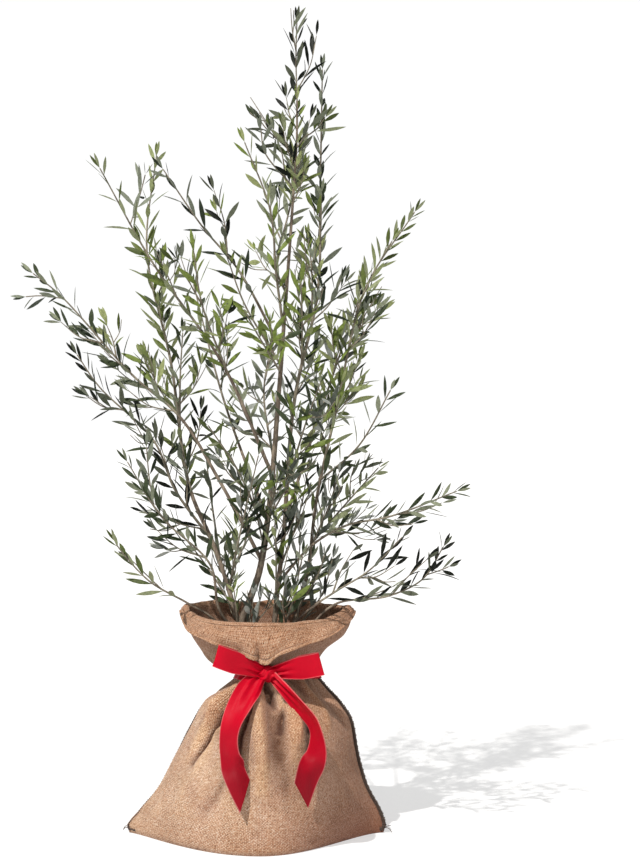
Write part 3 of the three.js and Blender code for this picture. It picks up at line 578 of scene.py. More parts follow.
@dataclass(frozen=True)
class Burlap:
    """Coarse jute in plain weave: uneven yarns that pass over and under, stained in places, with painted
    shade.
    """

    yarn: float = 2.2
    light: int = 0xFFF6E6
    middle: int = 0xD0A27F
    dark: int = 0x452C20
    stain_and_shade: int = 0x9C6042

    def material(self) -> Material:
        """Draws the weave on the cloth's own UV, in millimetres, and darkens it by the cloth's painted shade.

        Returns:
            The material.
        """
        s = Sketch("burlap")
        across, along = s.axes(uv=True)[:2]
        wander = s.math("MULTIPLY_ADD", s.noise(s.place((0.05, 0.012, 1), uv=True), 1.0, 2.0), 2.2, -1.1)
        drift = s.math("MULTIPLY_ADD", s.noise(s.place((0.012, 0.05, 1), uv=True), 1.3, 2.0), 2.2, -1.1)
        pitch = math.pi / self.yarn
        warp = s.math("SINE", s.math("MULTIPLY_ADD", across, pitch, s.math("MULTIPLY", wander, 1.6)))
        weft = s.math("SINE", s.math("MULTIPLY_ADD", along, pitch, s.math("MULTIPLY", drift, 1.6)))
        on_top = s.fade(s.math("MULTIPLY", warp, weft), -0.2, 0.2)
        round_warp, round_weft = s.math("ABSOLUTE", warp), s.math("ABSOLUTE", weft)
        height = s.node("Mix", {0: on_top, 2: round_weft, 3: round_warp}).outputs[0]
        slub_warp = s.noise(s.place((0.45, 0.08, 1), uv=True), 1.0, 3.0, 0.7)
        slub_weft = s.noise(s.place((0.08, 0.45, 1), uv=True), 1.0, 3.0, 0.7)
        slub = s.node("Mix", {0: on_top, 2: slub_weft, 3: slub_warp}).outputs[0]
        diagonals = {0: s.math("ADD", across, along), 1: s.math("SUBTRACT", along, across)}
        aslant = s.node("CombineXYZ", diagonals).outputs[0]
        dash = s.noise(s.node("Mapping", {0: aslant, 3: (0.11, 0.36, 1)}).outputs[0], 1.0, 5.0, 0.85)
        fleck = s.noise(s.place((0.4, 0.4, 1), uv=True), 1.0, 6.0, 0.85)
        mottled = s.math("MULTIPLY_ADD", dash, 0.4, s.math("MULTIPLY", fleck, 0.35))
        tone = s.math("MULTIPLY_ADD", slub, 0.25, mottled)
        woven = s.math("MULTIPLY_ADD", on_top, 0.16, s.math("MULTIPLY", height, 0.3))
        yarn = s.ramp(
            s.math("ADD", woven, s.math("MULTIPLY_ADD", tone, 4.6, -2.08)),
            [(0.0, self.dark), (0.42, self.middle), (1.0, self.light)],
        )
        to_right, _, upward = s.axes()
        # Painted shade: darker and redder to the right and near the foot; random stains; a warmer collar.
        right = s.fade(to_right, -0.05, 0.14, 0.56)
        low = s.fade(upward, 0.075, 0.0, 0.28)
        cloud = s.fade(s.noise(s.place(), 10.0, 3.0), 0.44, 0.66, 0.4)
        high = s.fade(upward, 0.25, 0.29, 0.44)
        stain_and_shade_share = s.math("MAXIMUM", s.math("ADD", right, low), s.math("MAXIMUM", cloud, high))
        stained_and_shaded = s.blend(stain_and_shade_share, yarn, s.blend(1.0, yarn, paint(self.stain_and_shade), "MULTIPLY"))
        # Painted shade by attribute: light on the flap and hem edge, dark in creases and under the flap.
        shade = s.node("Attribute", attribute_name="shade").outputs["Fac"]
        painted_shade_tint = s.ramp(shade, [(0.0, 0xFFFBEE), (0.3, 0xF2F0EE), (1.0, 0x7E675A)])
        wear = s.ramp(s.noise(s.place(), 19.0, 4.0), [(0.36, 0xEBE5DE), (0.6, 0xFFFFFF)])
        colour = s.blend(1.0, stained_and_shaded, s.blend(1.0, painted_shade_tint, wear, "MULTIPLY"), "MULTIPLY")
        s.relief(s.math("ADD", height, s.math("MULTIPLY", slub, 0.6)), 0.0011, 0.9)
        rough = s.spread(slub, 0.85, 1.0)
        return s.finished(colour, rough, Sheen_Weight=0.1, Sheen_Roughness=0.6, Specular_IOR_Level=0.15)


@dataclass(frozen=True)
class Thread:
    """A matt twisted thread or cord, as on the overlocked seams."""

    name: str
    light: int
    dark: int

    def material(self) -> Material:
        """Draws fine strands along the thread.

        Returns:
            The material.
        """
        s = Sketch(self.name)
        strand = s.noise(s.place(), 900.0, 3.0, 0.7)
        colour = s.ramp(strand, [(0.3, self.dark), (0.7, self.light)])
        s.relief(strand, 0.0004, 0.6)
        return s.finished(colour, s.spread(strand, 0.8, 1.0), Sheen_Weight=0.2, Specular_IOR_Level=0.2)


@dataclass(frozen=True)
class Satin:
    """Red ribbon: fine ribs across a close weave, a soft sheen, thin painted edge highlights, painted shade
    low.
    """

    body: int = 0xC20021
    # deep is the deeper red of random clouds and of painted shade low down; selvedge is a painted highlight.
    deep: int = 0x860016
    selvedge: int = 0xEE9A98
    rib: float = 1.1
    width: float = 36.0

    def material(self) -> Material:
        """Draws ribs, a painted selvedge highlight and deeper red painted shade low down, on the UV in mm.

        Returns:
            The material.
        """
        s = Sketch("ribbon_satin")
        across, along = s.axes(uv=True)[:2]
        ribs = s.math("SINE", s.math("MULTIPLY", along, FULL_TURN / self.rib))
        weave = s.noise(s.place((0.9, 2.4, 1), uv=True), 1.0, 4.0, 0.7)
        cloud = s.noise(s.place(), 22.0, 3.0)
        # Painted highlight: a thin light line along each selvedge.
        edge = s.fade(s.math("ABSOLUTE", across), self.width / 2 - 1.1, self.width / 2 - 0.5)
        # Painted shade: a deeper red towards the tails' low ends.
        low_painted_shade = s.fade(s.axes()[2], 0.2, 0.09)
        share = s.math("MULTIPLY_ADD", cloud, 0.66, low_painted_shade)
        plain = s.blend(share, paint(self.body), paint(self.deep))
        colour = s.blend(s.math("MULTIPLY", edge, 0.3), plain, paint(self.selvedge))
        height = s.math("ADD", s.math("MULTIPLY", ribs, 0.4), s.math("ADD", weave, edge))
        s.relief(height, 0.0002, 0.7)
        rough = s.spread(weave, 0.38, 0.55)
        return s.finished(colour, rough, Specular_IOR_Level=0.12)


@dataclass(frozen=True)
class Bark:
    """Young olive bark: grey-brown, streaked along the stem, with pale lenticels and darker scars."""

    name: str
    pale: int
    middle: int
    dark: int

    def material(self) -> Material:
        """Draws the streaks along the height, and the spots, on object coordinates.

        Returns:
            The material.
        """
        s = Sketch(self.name)
        streak = s.noise(s.place((1, 1, 0.16)), 420.0, 4.0, 0.65)
        cloud = s.noise(s.place((1, 1, 0.5)), 60.0, 3.0)
        tone = s.math("MULTIPLY_ADD", cloud, 0.55, s.math("MULTIPLY", streak, 0.5))
        stops = [(0.34, self.dark), (0.52, self.middle), (0.7, self.pale)]
        spot = s.node("TexVoronoi", {"Vector": s.place((1, 1, 1.8)), "Scale": 330.0}).outputs["Distance"]
        dots = s.ramp(spot, [(0.14, 0xFFFFFF), (0.24, 0x000000)])
        colour = s.blend(s.math("MULTIPLY", dots, 0.55), s.ramp(tone, stops), paint(self.pale))
        s.relief(s.math("ADD", streak, s.math("MULTIPLY", dots, 0.5)), 0.0009, 0.8)
        return s.finished(colour, s.spread(streak, 0.62, 0.9), Specular_IOR_Level=0.3)


@dataclass(frozen=True)
class LeafFinish:
    """An olive leaf's two sides: a leathery upper side and a pale felted underside."""

    name: str
    upper: int
    under: int

    def materials(self) -> list[Material]:
        """Makes the upper side's material and the underside's.

        Returns:
            Both, in that order.
        """
        made = []
        sides = (("upper", self.upper, 0.48, 0.12, 0.0), ("under", self.under, 0.75, 0.15, 0.1))
        for side, code, rough, gloss, sheen in sides:
            s = Sketch(f"leaf_{self.name}_{side}")
            base = paint(code)
            lighter = tuple(min(1.0, part * 1.28) for part in base[:3]) + (1.0,)
            darker = tuple(part * 0.72 for part in base[:3]) + (1.0,)
            vein = s.noise(s.place(), 260.0, 3.0, 0.6)
            colour = s.ramp(vein, [(0.3, darker), (0.5, base), (0.72, lighter)])
            s.relief(vein, 0.0003, 0.5)
            made.append(s.finished(colour, rough, Specular_IOR_Level=gloss, Sheen_Weight=sheen))
        return made


class LeafTone(Enum):
    """The tones that the sprays are dealt, from dark to light, and last a grey one for low sprays."""

    DEEP = LeafFinish("deep", 0x10140D, 0x565B4B)
    BLUE = LeafFinish("blue", 0x222A1E, 0x737969)
    GREY = LeafFinish("grey", 0x363F2B, 0x848A73)
    OLIVE = LeafFinish("olive", 0x454F2A, 0x878E6C)
    FRESH = LeafFinish("fresh", 0x566131, 0x8B9467)
    YOUNG = LeafFinish("young", 0x667439, 0x939B69)
    SAGE = LeafFinish("sage", 0x4B5047, 0x969A93)


@dataclass(frozen=True)
class Moulding:
    """Thin black nursery plastic with rubbed edges and dust."""

    body: int = 0x1E1F20
    dust: int = 0x55524C

    def material(self) -> Material:
        """Draws the dust and the mould's fine grain.

        Returns:
            The material.
        """
        s = Sketch("nursery_plastic")
        dust = s.noise(s.place((1, 1, 0.4)), 45.0, 5.0, 0.7)
        colour = s.ramp(dust, [(0.5, self.body), (0.85, self.dust)])
        s.relief(s.noise(s.place(), 1500.0, 2.0), 0.0001, 0.5)
        return s.finished(colour, s.spread(dust, 0.35, 0.75), Specular_IOR_Level=0.5)


@dataclass(frozen=True)
class Crumbs:
    """Potting mix: dark crumbs of peat and bark."""

    name: str = "potting_crumbs"
    dark: int = 0x21160F
    light: int = 0x5A4330

    def material(self) -> Material:
        """Draws crumbs of several sizes.

        Returns:
            The material.
        """
        s = Sketch(self.name)
        crumb = s.noise(s.place(), 300.0, 8.0, 0.75)
        colour = s.ramp(crumb, [(0.35, self.dark), (0.7, self.light)])
        s.relief(crumb, 0.003, 1.0)
        return s.finished(colour, 0.95, Specular_IOR_Level=0.2)


def settle(piece: Piece, replaced: Sequence[str] = ()) -> None:
    """Hands a finished piece to the frame and reports it.

    Args:
        piece: The piece, in its place.
        replaced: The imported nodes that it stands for.
    """
    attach(piece, "root")
    if replaced:
        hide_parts(*replaced)
    LOG.info("%s: %d triangles", piece.name, len(piece.data.polygons))


@dataclass(frozen=True)
class Level:
    """A level section of the sack: its reach to each side, and how far it is drawn into two corners."""

    z: float
    left: float
    right: float
    front: float
    back: float
    corner: float


@dataclass(frozen=True)
class Gather:
    """A broad gather down from the neck: its turn in degrees, depth, width in degrees and low end."""

    turn: float
    depth: float
    width: float
    low: float


@dataclass(frozen=True)
class Fold:
    """A fold of the cloth along a path of turns and heights: stands out where the depth is above 0."""

    path: tuple[tuple[float, float], ...]
    depth: float
    width: float

    ROLL_POWER = 2.0
    CREASE_POWER = 1.25
    END_FADE = 0.75

    def height(self, turn: Array, z: Array, reach: Array) -> Array:
        """Works out how far the cloth stands out: a bell across the path, sharper for a crease than a roll.

        Args:
            turn: Turns of the places, in degrees.
            z: Their heights.
            reach: Their distances from the sack's middle, which turn degrees into millimetres.

        Returns:
            How far each place stands out.
        """
        scale = np.radians(reach)
        nearest = np.full(np.shape(turn), 1e9)
        share = np.zeros(np.shape(turn))
        pieces = len(self.path) - 1
        for k, ((turn_a, z_a), (turn_b, z_b)) in enumerate(zip(self.path, self.path[1:])):
            x, y = (turn_b - turn_a) * scale, z_b - z_a
            px, py = (turn - turn_a) * scale, z - z_a
            t = np.clip((px * x + py * y) / (x * x + y * y), 0, 1)
            away = np.hypot(px - t * x, py - t * y)
            closer = away < nearest
            nearest = np.where(closer, away, nearest)
            share = np.where(closer, (k + t) / pieces, share)
        ends = ease(-0.15, 0.2, share) * (1 - self.END_FADE * ease(0.6, 1.0, share))
        power = self.ROLL_POWER if self.depth > 0 else self.CREASE_POWER
        return self.depth * np.exp(-((nearest / self.width) ** power)) * ends


SACK_LEVELS = (
    Level(0, 199, 181, 128, 123, 1.5),
    Level(9, 202, 183, 132, 127, 1.35),
    Level(34, 185, 176, 130, 125, 0.85),
    Level(70, 156, 157, 124, 121, 0.36),
    Level(126, 126, 141, 118, 115, 0.14),
    Level(171, 103, 132, 110, 108, 0.08),
    Level(200, 86, 117, 92, 90, 0.05),
    Level(224, 51, 94, 66, 66, 0.02),
    Level(248, 31, 76, 46, 46, 0.0),
)
GATHERS = (
    Gather(232, 9, 10, 118),
    Gather(252, 5, 9, 150),
    Gather(278, 8, 8, 70),
    Gather(302, 7, 10, 105),
    Gather(330, 6, 11, 150),
    Gather(20, 6, 11, 140),
    Gather(55, 8, 11, 110),
    Gather(88, 7, 9, 80),
    Gather(120, 8, 10, 120),
    Gather(155, 6, 11, 140),
    Gather(205, 6, 10, 150),
)
FRONT_FOLDS = (
    Fold(((224, 250), (214, 231), (213, 212), (214, 196), (211, 172)), 14.0, 7.0),
    Fold(((219, 244), (206, 224), (208, 210)), -8.0, 4.5),
    Fold(((227, 236), (225, 214), (224, 194), (222, 178), (219, 150), (216, 122)), -31.0, 7.5),
    Fold(((238, 178), (226, 171), (222, 156)), 5.0, 5.0),
    Fold(((269, 244), (276, 226), (281, 206)), -17.0, 4.5),
    Fold(((270, 236), (267, 210), (269, 178), (272, 137), (271, 92)), 15.0, 9.5),
    Fold(((292, 224), (287, 204), (284, 186), (282, 160)), -12.0, 6.8),
    Fold(((290, 212), (296, 190), (294, 160)), 6.0, 6.0),
    Fold(((279, 238), (288, 224), (287, 209), (282, 201)), 13.0, 4.8),
    Fold(((291, 212), (294, 183), (293, 140)), 11.0, 11.0),
    Fold(((261, 216), (255, 197), (252, 172), (255, 132)), -17.0, 6.5),
    Fold(((305, 220), (307, 187), (304, 154), (298, 115)), -15.0, 6.0),
    Fold(((258, 242), (252, 226), (249, 208)), -8.0, 4.0),
    Fold(((288, 242), (297, 227), (303, 208)), -8.0, 4.0),
    Fold(((302, 242), (314, 226), (321, 204)), -7.0, 5.0),
    Fold(((240, 242), (231, 226), (226, 210)), -6.0, 4.5),
    Fold(((200, 236), (203, 214), (206, 190)), -6.0, 6.0),
    Fold(((318, 226), (322, 196), (318, 168)), 5.0, 7.0),
    Fold(((282, 150), (286, 112), (284, 70)), -5.0, 12.0),
    Fold(((252, 134), (246, 96), (240, 52)), -5.0, 12.0),
)
BACK_FOLDS = (
    Fold(((62, 244), (70, 205), (74, 160), (72, 112)), -9.0, 9.0),
    Fold(((92, 240), (95, 196), (104, 150)), 8.0, 12.0),
    Fold(((118, 244), (122, 200), (118, 150), (112, 110)), -9.0, 8.0),
    Fold(((142, 240), (138, 205), (146, 165)), 6.0, 9.0),
    Fold(((36, 240), (40, 200), (34, 160)), 6.0, 10.0),
    Fold(((8, 236), (14, 205), (10, 175)), -5.0, 8.0),
    Fold(((340, 240), (334, 206), (338, 168)), -5.0, 8.0),
    Fold(((168, 240), (172, 210), (166, 176)), -5.0, 7.0),
)


@dataclass(frozen=True)
class Sack:
    """The burlap sack: body, neck, and the mouth turned down as a collar, with its hem, seams and drawn cord.

    The pot inside holds the body out: the cloth is no nearer its axis, at `middle`, than `pot_hold` at its
    foot and its top. Each wave of wrinkles has a depth, a length round in degrees, a length up and a seed.
    """

    cloth: float = 1.8
    ground_gap: float = 0.3
    middle: float = 18.0
    right_corner: float = 1.6
    pot_top: float = 168.0
    pot_fade: float = 26.0
    pot_hold: Row = (85.0, 101.0)
    pot_ease: float = 6.0
    neck: float = 248.0
    turns: int = 420
    collar_turns: int = 400
    body_step: float = 1.7
    full_gather: float = 60.0
    body_wrinkles: Waves = ((1.6, 15, 55, 3), (0.55, 5, 16, 5))
    collar_wrinkles: Waves = ((1.5, 12, 30, 25), (0.5, 4, 12, 27))
    foot_shares: Row = (0.3, 0.6, 0.85)
    lining_step: int = 6
    girth_row: int = 40
    girth_height: float = 70.0
    hollow_span: int = 10
    hollow_rows: int = 4
    hollow_depth: float = 8.0
    rim: Level = Level(334, 109, 125, 71, 74, 0.25)
    corner_lift: float = 4.0
    front_sag: float = 12.0
    crest: float = 3.6
    drop: float = 51.0
    corner_drop: float = 5.0
    flap_stand: Row = (9.0, 12.5, 16.5, 20.0)
    # Painted shade on the cloth, from 0 lightest to 1 darkest, for each part of it:
    foot_painted_shade: float = 0.5
    lining_painted_shade: float = 0.6
    plain_painted_shade: float = 0.27
    neck_painted_shade: float = 0.2
    bowl_painted_shade: Row = (0.6, 0.3, 0.15, 0.8, 0.9)
    flap_painted_shade: Row = (0.0, 0.0, 0.7, 0.1, 0.06, 0.06, 0.45, 0.65)
    seam_turn: float = 353.0
    left_seam_turn: float = 173.0
    seam_swing: Row = (14.0, 70.0)
    seam_width: float = 2.4
    seam_depth: float = 1.2
    winding: float = 3.4
    sectors: int = 360
    sector_span: int = 5
    girdle_step: float = 2.0
    bowl_up: Row = (0.0, 0.12, 0.35, 0.6, 0.82, 1.0)
    bowl_out: Row = (0.0, 0.14, 0.4, 0.72, 0.92, 1.0)
    bowl_left: Row = (0.0, 0.55, 0.78, 0.98, 1.06, 1.0)
    bowl_right: Row = (0.0, 0.12, 0.43, 0.96, 1.12, 1.0)

    def section(self, turn: Array, z: Array) -> Array:
        """Gives places at turns in degrees and heights on the plain sack, before its gathers and folds."""
        return self.level_place(turn, z, *self.reaches(z))

    def reaches(self, z: Array) -> list[Array]:
        """Gives the reach to the left, right, front and back, and the corners' share, at some heights."""
        heights, *sides = zip(*(astuple(level) for level in SACK_LEVELS))
        return [smooth_through(heights, side, z) for side in sides]

    def level_place(self, turn: Array, z: Array, *reach: Number) -> Array:
        """Gives places on level sections.

        A place lies at the reach of its side, times the cosine of its turn, and at the reach of its front or
        back, times the sine, whose size is raised by one more than the corner's share.

        Args:
            turn: Turns in degrees.
            z: Heights.
            reach: The sections' reach to the left, right, front and back, and their corners' share.

        Returns:
            The places.
        """
        left, right, front, back, corner = reach
        c, s = np.cos(np.radians(turn)), np.sin(np.radians(turn))
        across = np.where(c > 0, right, left)
        deep = np.where(s > 0, back, front)
        power = corner * np.where(c > 0, self.right_corner, 1.0)
        return np.stack(np.broadcast_arrays(across * c, deep * s * np.abs(s) ** power, z), axis=-1)

    def drawn_in(self, turn: Array, z: Array) -> Array:
        """Gives how far the gathers draw the cloth in: bells across the turn that fade out below.

        Args:
            turn: Turns in degrees.
            z: Heights.

        Returns:
            The depth at each place.
        """
        depth = np.zeros(np.broadcast(turn, z).shape)
        for gather in GATHERS:
            away = (turn - gather.turn + 540) % 360 - 180
            depth += gather.depth * bell(away, gather.width) * ease(gather.low, self.neck - 16, z)
        return depth

    def pleats(self, turn: Array, z: Array) -> Array:
        """Gives the fine pleats under and over the ribbon: uneven waves round the neck that die out from it.

        Args:
            turn: Turns in degrees.
            z: Heights.

        Returns:
            How far each place stands out.
        """
        wander = 5.0 * bumps(turn / 30, z / 45, 11, 12)
        wave = np.cos(np.radians(turn + wander) * 17) + 0.7 * np.cos(np.radians(turn - wander) * 29 + 1.0)
        below = ease(178, self.neck - 6, z)
        above = 1 - ease(self.neck + 6, 292, z)
        return 1.35 * wave * below * above

    def body_grid(self) -> Array:
        """Lays the body's outer face, from the foot's edge to the neck.

        The plain section is drawn in by the gathers. Folds, pleats, wrinkles and seams move it along its
        normals, and a soft maximum holds it outside the pot.

        Returns:
            Places by height and by turn.
        """
        turn = np.linspace(0, 360, self.turns, endpoint=False)[None]
        z = np.linspace(0, self.neck, round(self.neck / self.body_step))[:, None]
        plain = self.section(turn, z)
        front = self.reaches(z)[2]
        drawn = self.drawn_in(turn, z) * np.minimum(1, front / self.full_gather)
        grid = plain - spokes(turn) * drawn[..., None]
        turn, z = np.broadcast_arrays(turn, z)
        reach = np.hypot(plain[..., 0], plain[..., 1])
        relief = sum(fold.height(turn, z, reach) for fold in FRONT_FOLDS + BACK_FOLDS)
        relief = relief * ease(0, 45, reach) + self.pleats(turn, z)
        lift = ease(4, 40, z)
        for depth, wide, tall, seed in self.body_wrinkles:
            relief = relief + depth * lift * bumps(turn / wide, z / tall, seed, 360 // wide)
        left_seam = mix(180.0, self.left_seam_turn, ease(*self.seam_swing, z))
        seam = bell((turn - self.seam_turn + 180) % 360 - 180, self.seam_width)
        relief = relief - self.seam_depth * lift * (seam + bell(turn - left_seam, self.seam_width))
        grid = grid + grid_normals(grid) * (relief * ease(0, 12, z))[..., None]
        aside = grid[..., :2] - np.array([self.middle, 0.0])
        away = np.linalg.norm(aside, axis=2)
        above = ease(self.pot_top, self.pot_top + self.pot_fade, z)
        held = mix(*self.pot_hold, z / self.pot_top) * (1 - above)
        pushed = (away + held + np.sqrt((away - held) ** 2 + self.pot_ease)) / 2
        grid[..., :2] = grid[..., :2] + aside * (pushed / away - 1)[..., None]
        grid[..., 2] = np.maximum(grid[..., 2], self.ground_gap)
        grid[0, :, 2] = self.ground_gap
        return grid

    def body(self) -> Surface:
        """Makes the body: a foot, the outer face and, a cloth's thickness inside it, a coarser inner face.

        Returns:
            The surface.
        """
        grid = self.body_grid()
        middle = np.array([self.middle, 0.0, self.ground_gap])
        foot = np.stack([middle + (grid[0] - middle) * share for share in self.foot_shares])
        inner = (grid - grid_normals(grid) * self.cloth)[:: -self.lining_step]
        inner[..., 2] = np.maximum(inner[..., 2], self.cloth + self.ground_gap)
        rings = np.concatenate([foot, grid, inner])
        level = grid[self.girth_row]
        u, v = distance_along(np.vstack([level, level[:1]])), distance_along(rings)
        shell = ring_shell(rings, middle, middle + UP * self.cloth, u, v)
        # Painted shade: even on the hidden foot and the inside, and from the creases on the outer face.
        hidden = np.full(foot.size // 3 + 1, self.foot_painted_shade)
        lined = np.full(inner.size // 3 + 1, self.lining_painted_shade)
        return replace(shell, shade=np.concatenate([hidden, self.painted_hollow_shade(grid).ravel(), lined]))

    def painted_hollow_shade(self, grid: Array) -> Array:
        """Gives the body's painted shade: deeper where the cloth lies behind its running mean, and near the
        neck.

        Args:
            grid: The body's outer face.

        Returns:
            The shade at each place.
        """
        away = np.linalg.norm(grid[..., :2] - np.array([self.middle, 0.0]), axis=2)
        span, rows = self.hollow_span, self.hollow_rows
        mean = np.mean([np.roll(away, k, axis=1) for k in range(-span, span + 1)], axis=0)
        padded = np.pad(mean, ((rows, rows), (0, 0)), mode="edge")
        mean = np.mean([padded[k : k + len(mean)] for k in range(2 * rows + 1)], axis=0)
        # Painted shade that deepens towards the neck, under the band.
        drawn = self.neck_painted_shade * ease(self.neck - 30, self.neck - 6, grid[..., 2])
        return np.clip(self.plain_painted_shade + (mean - away) / self.hollow_depth + drawn, 0.0, 1.0)

    def bowl(self, turn: Array, up: Array, neck: Array, crest: Array) -> Array:
        """Gives places on the collar's bowl: from the neck to the crest, by a share out for each share up.

        The share out follows one line in front and at the back, and another at each side.

        Args:
            turn: Turns in degrees.
            up: Shares of the way up.
            neck: The neck's places, by turn.
            crest: The crest's places, by turn.

        Returns:
            The places.
        """
        c = np.cos(np.radians(turn))
        side = ease(0.3, 1, np.abs(c))
        plain = smooth_through(self.bowl_up, self.bowl_out, up)
        flared = np.where(
            c < 0,
            smooth_through(self.bowl_up, self.bowl_left, up),
            smooth_through(self.bowl_up, self.bowl_right, up),
        )
        out = mix(plain, flared, side)[..., None]
        place = mix(neck, crest, out)
        place[..., 2] = mix(neck[..., 2], crest[..., 2], up)
        return place

    def collar_grid(self) -> Array:
        """Lays the collar's face: up the bowl, over the crest, and down the flap to its hem.

        The flap hangs by the bowl's own line, a little outside it. Soft dents run down it, and a pucker
        between two lobes tucks it in above the knot. Its face turns towards the bowl, so a relief above 0
        goes inwards there.

        Returns:
            Places by step and by turn.
        """
        turn = np.linspace(0, 360, self.collar_turns, endpoint=False)[None]
        outward = spokes(turn)
        side = np.abs(outward[..., 0])
        neck = self.section(turn, np.full_like(turn, self.neck))
        drawn = self.drawn_in(turn, self.neck) * SACK_LEVELS[-1].front / self.full_gather
        neck = neck - outward * drawn[..., None]
        crest = self.level_place(turn, *astuple(self.rim))
        crest[..., 2] += self.corner_lift * (1 - np.abs(outward[..., 1]))
        crest[..., 2] -= self.front_sag * np.maximum(0, -outward[..., 1])
        crest[..., 2] += 2.4 * bumps(turn / 20, 0 * turn, 21, 18)
        up = np.linspace(0, 1, 46)[:, None]
        rise = self.bowl(turn, up, neck, crest)
        arc = np.linspace(180, 0, 12)[1:, None, None]
        over = crest + outward * (self.crest * (1 + np.cos(np.radians(arc))))
        over = over + UP * (self.crest * np.sin(np.radians(arc)))
        drop = mix(self.drop, self.corner_drop, side) + 2.2 * bumps(turn / 18, 0 * turn, 23, 20)
        drop = drop + 5.0 * bell(turn - 275, 6.0)
        share = np.linspace(0, 1, 40)[1:, None]
        hang = self.bowl(turn, 1 - drop * share / (crest[..., 2] - neck[..., 2]), neck, crest)
        stand = smooth_through((0, 0.35, 0.7, 1), self.flap_stand, share)
        hang = hang + outward * mix(stand, 9.0, ease(0.75, 1, side))[..., None]
        grid = np.concatenate([rise, over, hang])
        height = np.broadcast_to(grid[..., 2], grid.shape[:2])
        turns = np.broadcast_to(turn, height.shape)
        relief = self.pleats(turns, height)
        relief[len(rise) + len(over) :] = 0
        down = np.concatenate([np.zeros(len(rise)), np.full(len(over), 0.05), share[:, 0]])[:, None]
        flap = ease(0.0, 0.3, down)
        for depth, wide, tall, seed in self.collar_wrinkles:
            relief = relief + depth * bumps(turns / wide, height / tall, seed, 360 // wide)
        dents = 4.6 * bumps(turns / 9 + down, 2 * down, 29, 40)
        pucker = 10.0 * bell(turns - 268, 3.0) * ease(0.35, 0.95, down)
        lobes = sum(size * bell(turns - at, 5.0) for at, size in ((261, 1.5), (277, 4.5)))
        lobes = lobes * ease(0.35, 0.9, down)
        off_side = 1 - ease(0.8, 0.97, np.abs(np.cos(np.radians(turns))))
        relief = relief * mix(1, off_side, flap) + flap * off_side * (dents + pucker - lobes)
        relief = relief - 1.5 * ease(0.87, 0.9, down) + 1.0 * bell(down - 0.86, 0.02)
        return grid + grid_normals(grid) * relief[..., None]

    def collar(self) -> Surface:
        """Makes the collar as a closed cloth: its face and, a thickness away, its other face.

        Returns:
            The surface.
        """
        face = self.collar_grid()
        lining = (face - grid_normals(face) * self.cloth)[::-1]
        rings = np.concatenate([face, lining])
        turn = np.linspace(0, 360, self.collar_turns + 1)
        u = distance_along(self.section(turn, np.full_like(turn, self.girth_height)))
        shell = hoop_shell(rings, u, distance_along(np.concatenate([rings, rings[:1]])))
        up = np.linspace(0, 1, len(face))
        # Painted shade outside: the bowl darker towards the neck, under the flap.
        outside = np.interp(up, (0.0, 0.2, 0.47, 0.6, 1.0), self.bowl_painted_shade)
        # Painted shade inside: light hem edge, dark line in its groove, light flap, mouth darker lower down.
        inside = np.interp(up, (0.0, 0.04, 0.052, 0.07, 0.41, 0.5, 0.56, 1.0), self.flap_painted_shade)
        return replace(shell, shade=np.repeat(np.concatenate([outside, inside]), self.collar_turns))

    def girdle(self, z: Array, margin: Number) -> Array:
        """Lays rings round the neck that clear every pleat, as a ribbon drawn over the cloth does.

        At each of a row of heights, a running maximum of the cloth's distance from the neck's middle and then
        a running mean bridge the hollows between pleats.

        Args:
            z: Heights by ring and by sector.
            margin: How far the rings stand out from the outermost cloth.

        Returns:
            Places by ring and by sector.
        """
        cloth = np.vstack([self.body_grid()[-16:].reshape(-1, 3), self.collar_grid()[:9].reshape(-1, 3)])
        middle = (SACK_LEVELS[-1].right - SACK_LEVELS[-1].left) / 2
        aside, deep = cloth[:, 0] - middle, cloth[:, 1]
        sector = (np.degrees(np.arctan2(deep, aside)) % 360 / 360 * self.sectors).astype(int) % self.sectors
        levels = np.arange(self.neck - 24, self.neck + 14, self.girdle_step)
        span = range(-self.sector_span, self.sector_span + 1)
        rows = []
        for level in levels:
            near = np.abs(cloth[:, 2] - level) < self.girdle_step * 1.1
            row = np.zeros(self.sectors)
            np.maximum.at(row, sector[near], np.hypot(aside, deep)[near])
            row = np.max([np.roll(row, k) for k in span], axis=0)
            rows.append(np.mean([np.roll(row, k) for k in span], axis=0))
        table, columns = np.stack(rows), np.arange(self.sectors)
        share = (z - levels[0]) / self.girdle_step
        low = np.clip(np.floor(share).astype(int), 0, len(levels) - 2)
        away = mix(table[low, columns], table[low + 1, columns], share - low) + margin
        turn = np.radians((columns + 0.5) * 360 / self.sectors)
        return np.stack(np.broadcast_arrays(middle + away * np.cos(turn), away * np.sin(turn), z), axis=-1)

    def seam_way(self, turn: float, foot_turn: float, high_turn: float, stand: float) -> Way:
        """Gives the line of a side seam: along the foot's edge to the corner, then up to the neck.

        Args:
            turn: The seam's turn at the corner: 0 right, 180 left.
            foot_turn: Where round the foot the seam starts.
            high_turn: The seam's turn above the corner.
            stand: How far it stands out from the cloth.

        Returns:
            The way.
        """
        grid = self.body_grid()
        column = round(turn / 360 * self.turns) % self.turns
        start = round(foot_turn / 360 * self.turns) % self.turns
        span = np.unique(np.linspace(start, column if column or start < 90 else self.turns, 8).astype(int))
        if start > column and column:
            span = span[::-1]
        along = grid[3, span % self.turns] + UP * 1.5
        heights = np.linspace(8, len(grid) - 6, 16).astype(int)
        turned = mix(turn, high_turn, ease(*self.seam_swing, grid[heights, column, 2]))
        columns = np.round(turned / 360 * self.turns).astype(int) % self.turns
        upward = (grid + stand * grid_normals(grid))[heights, columns]
        return Way(np.vstack([along[:-1], upward]))

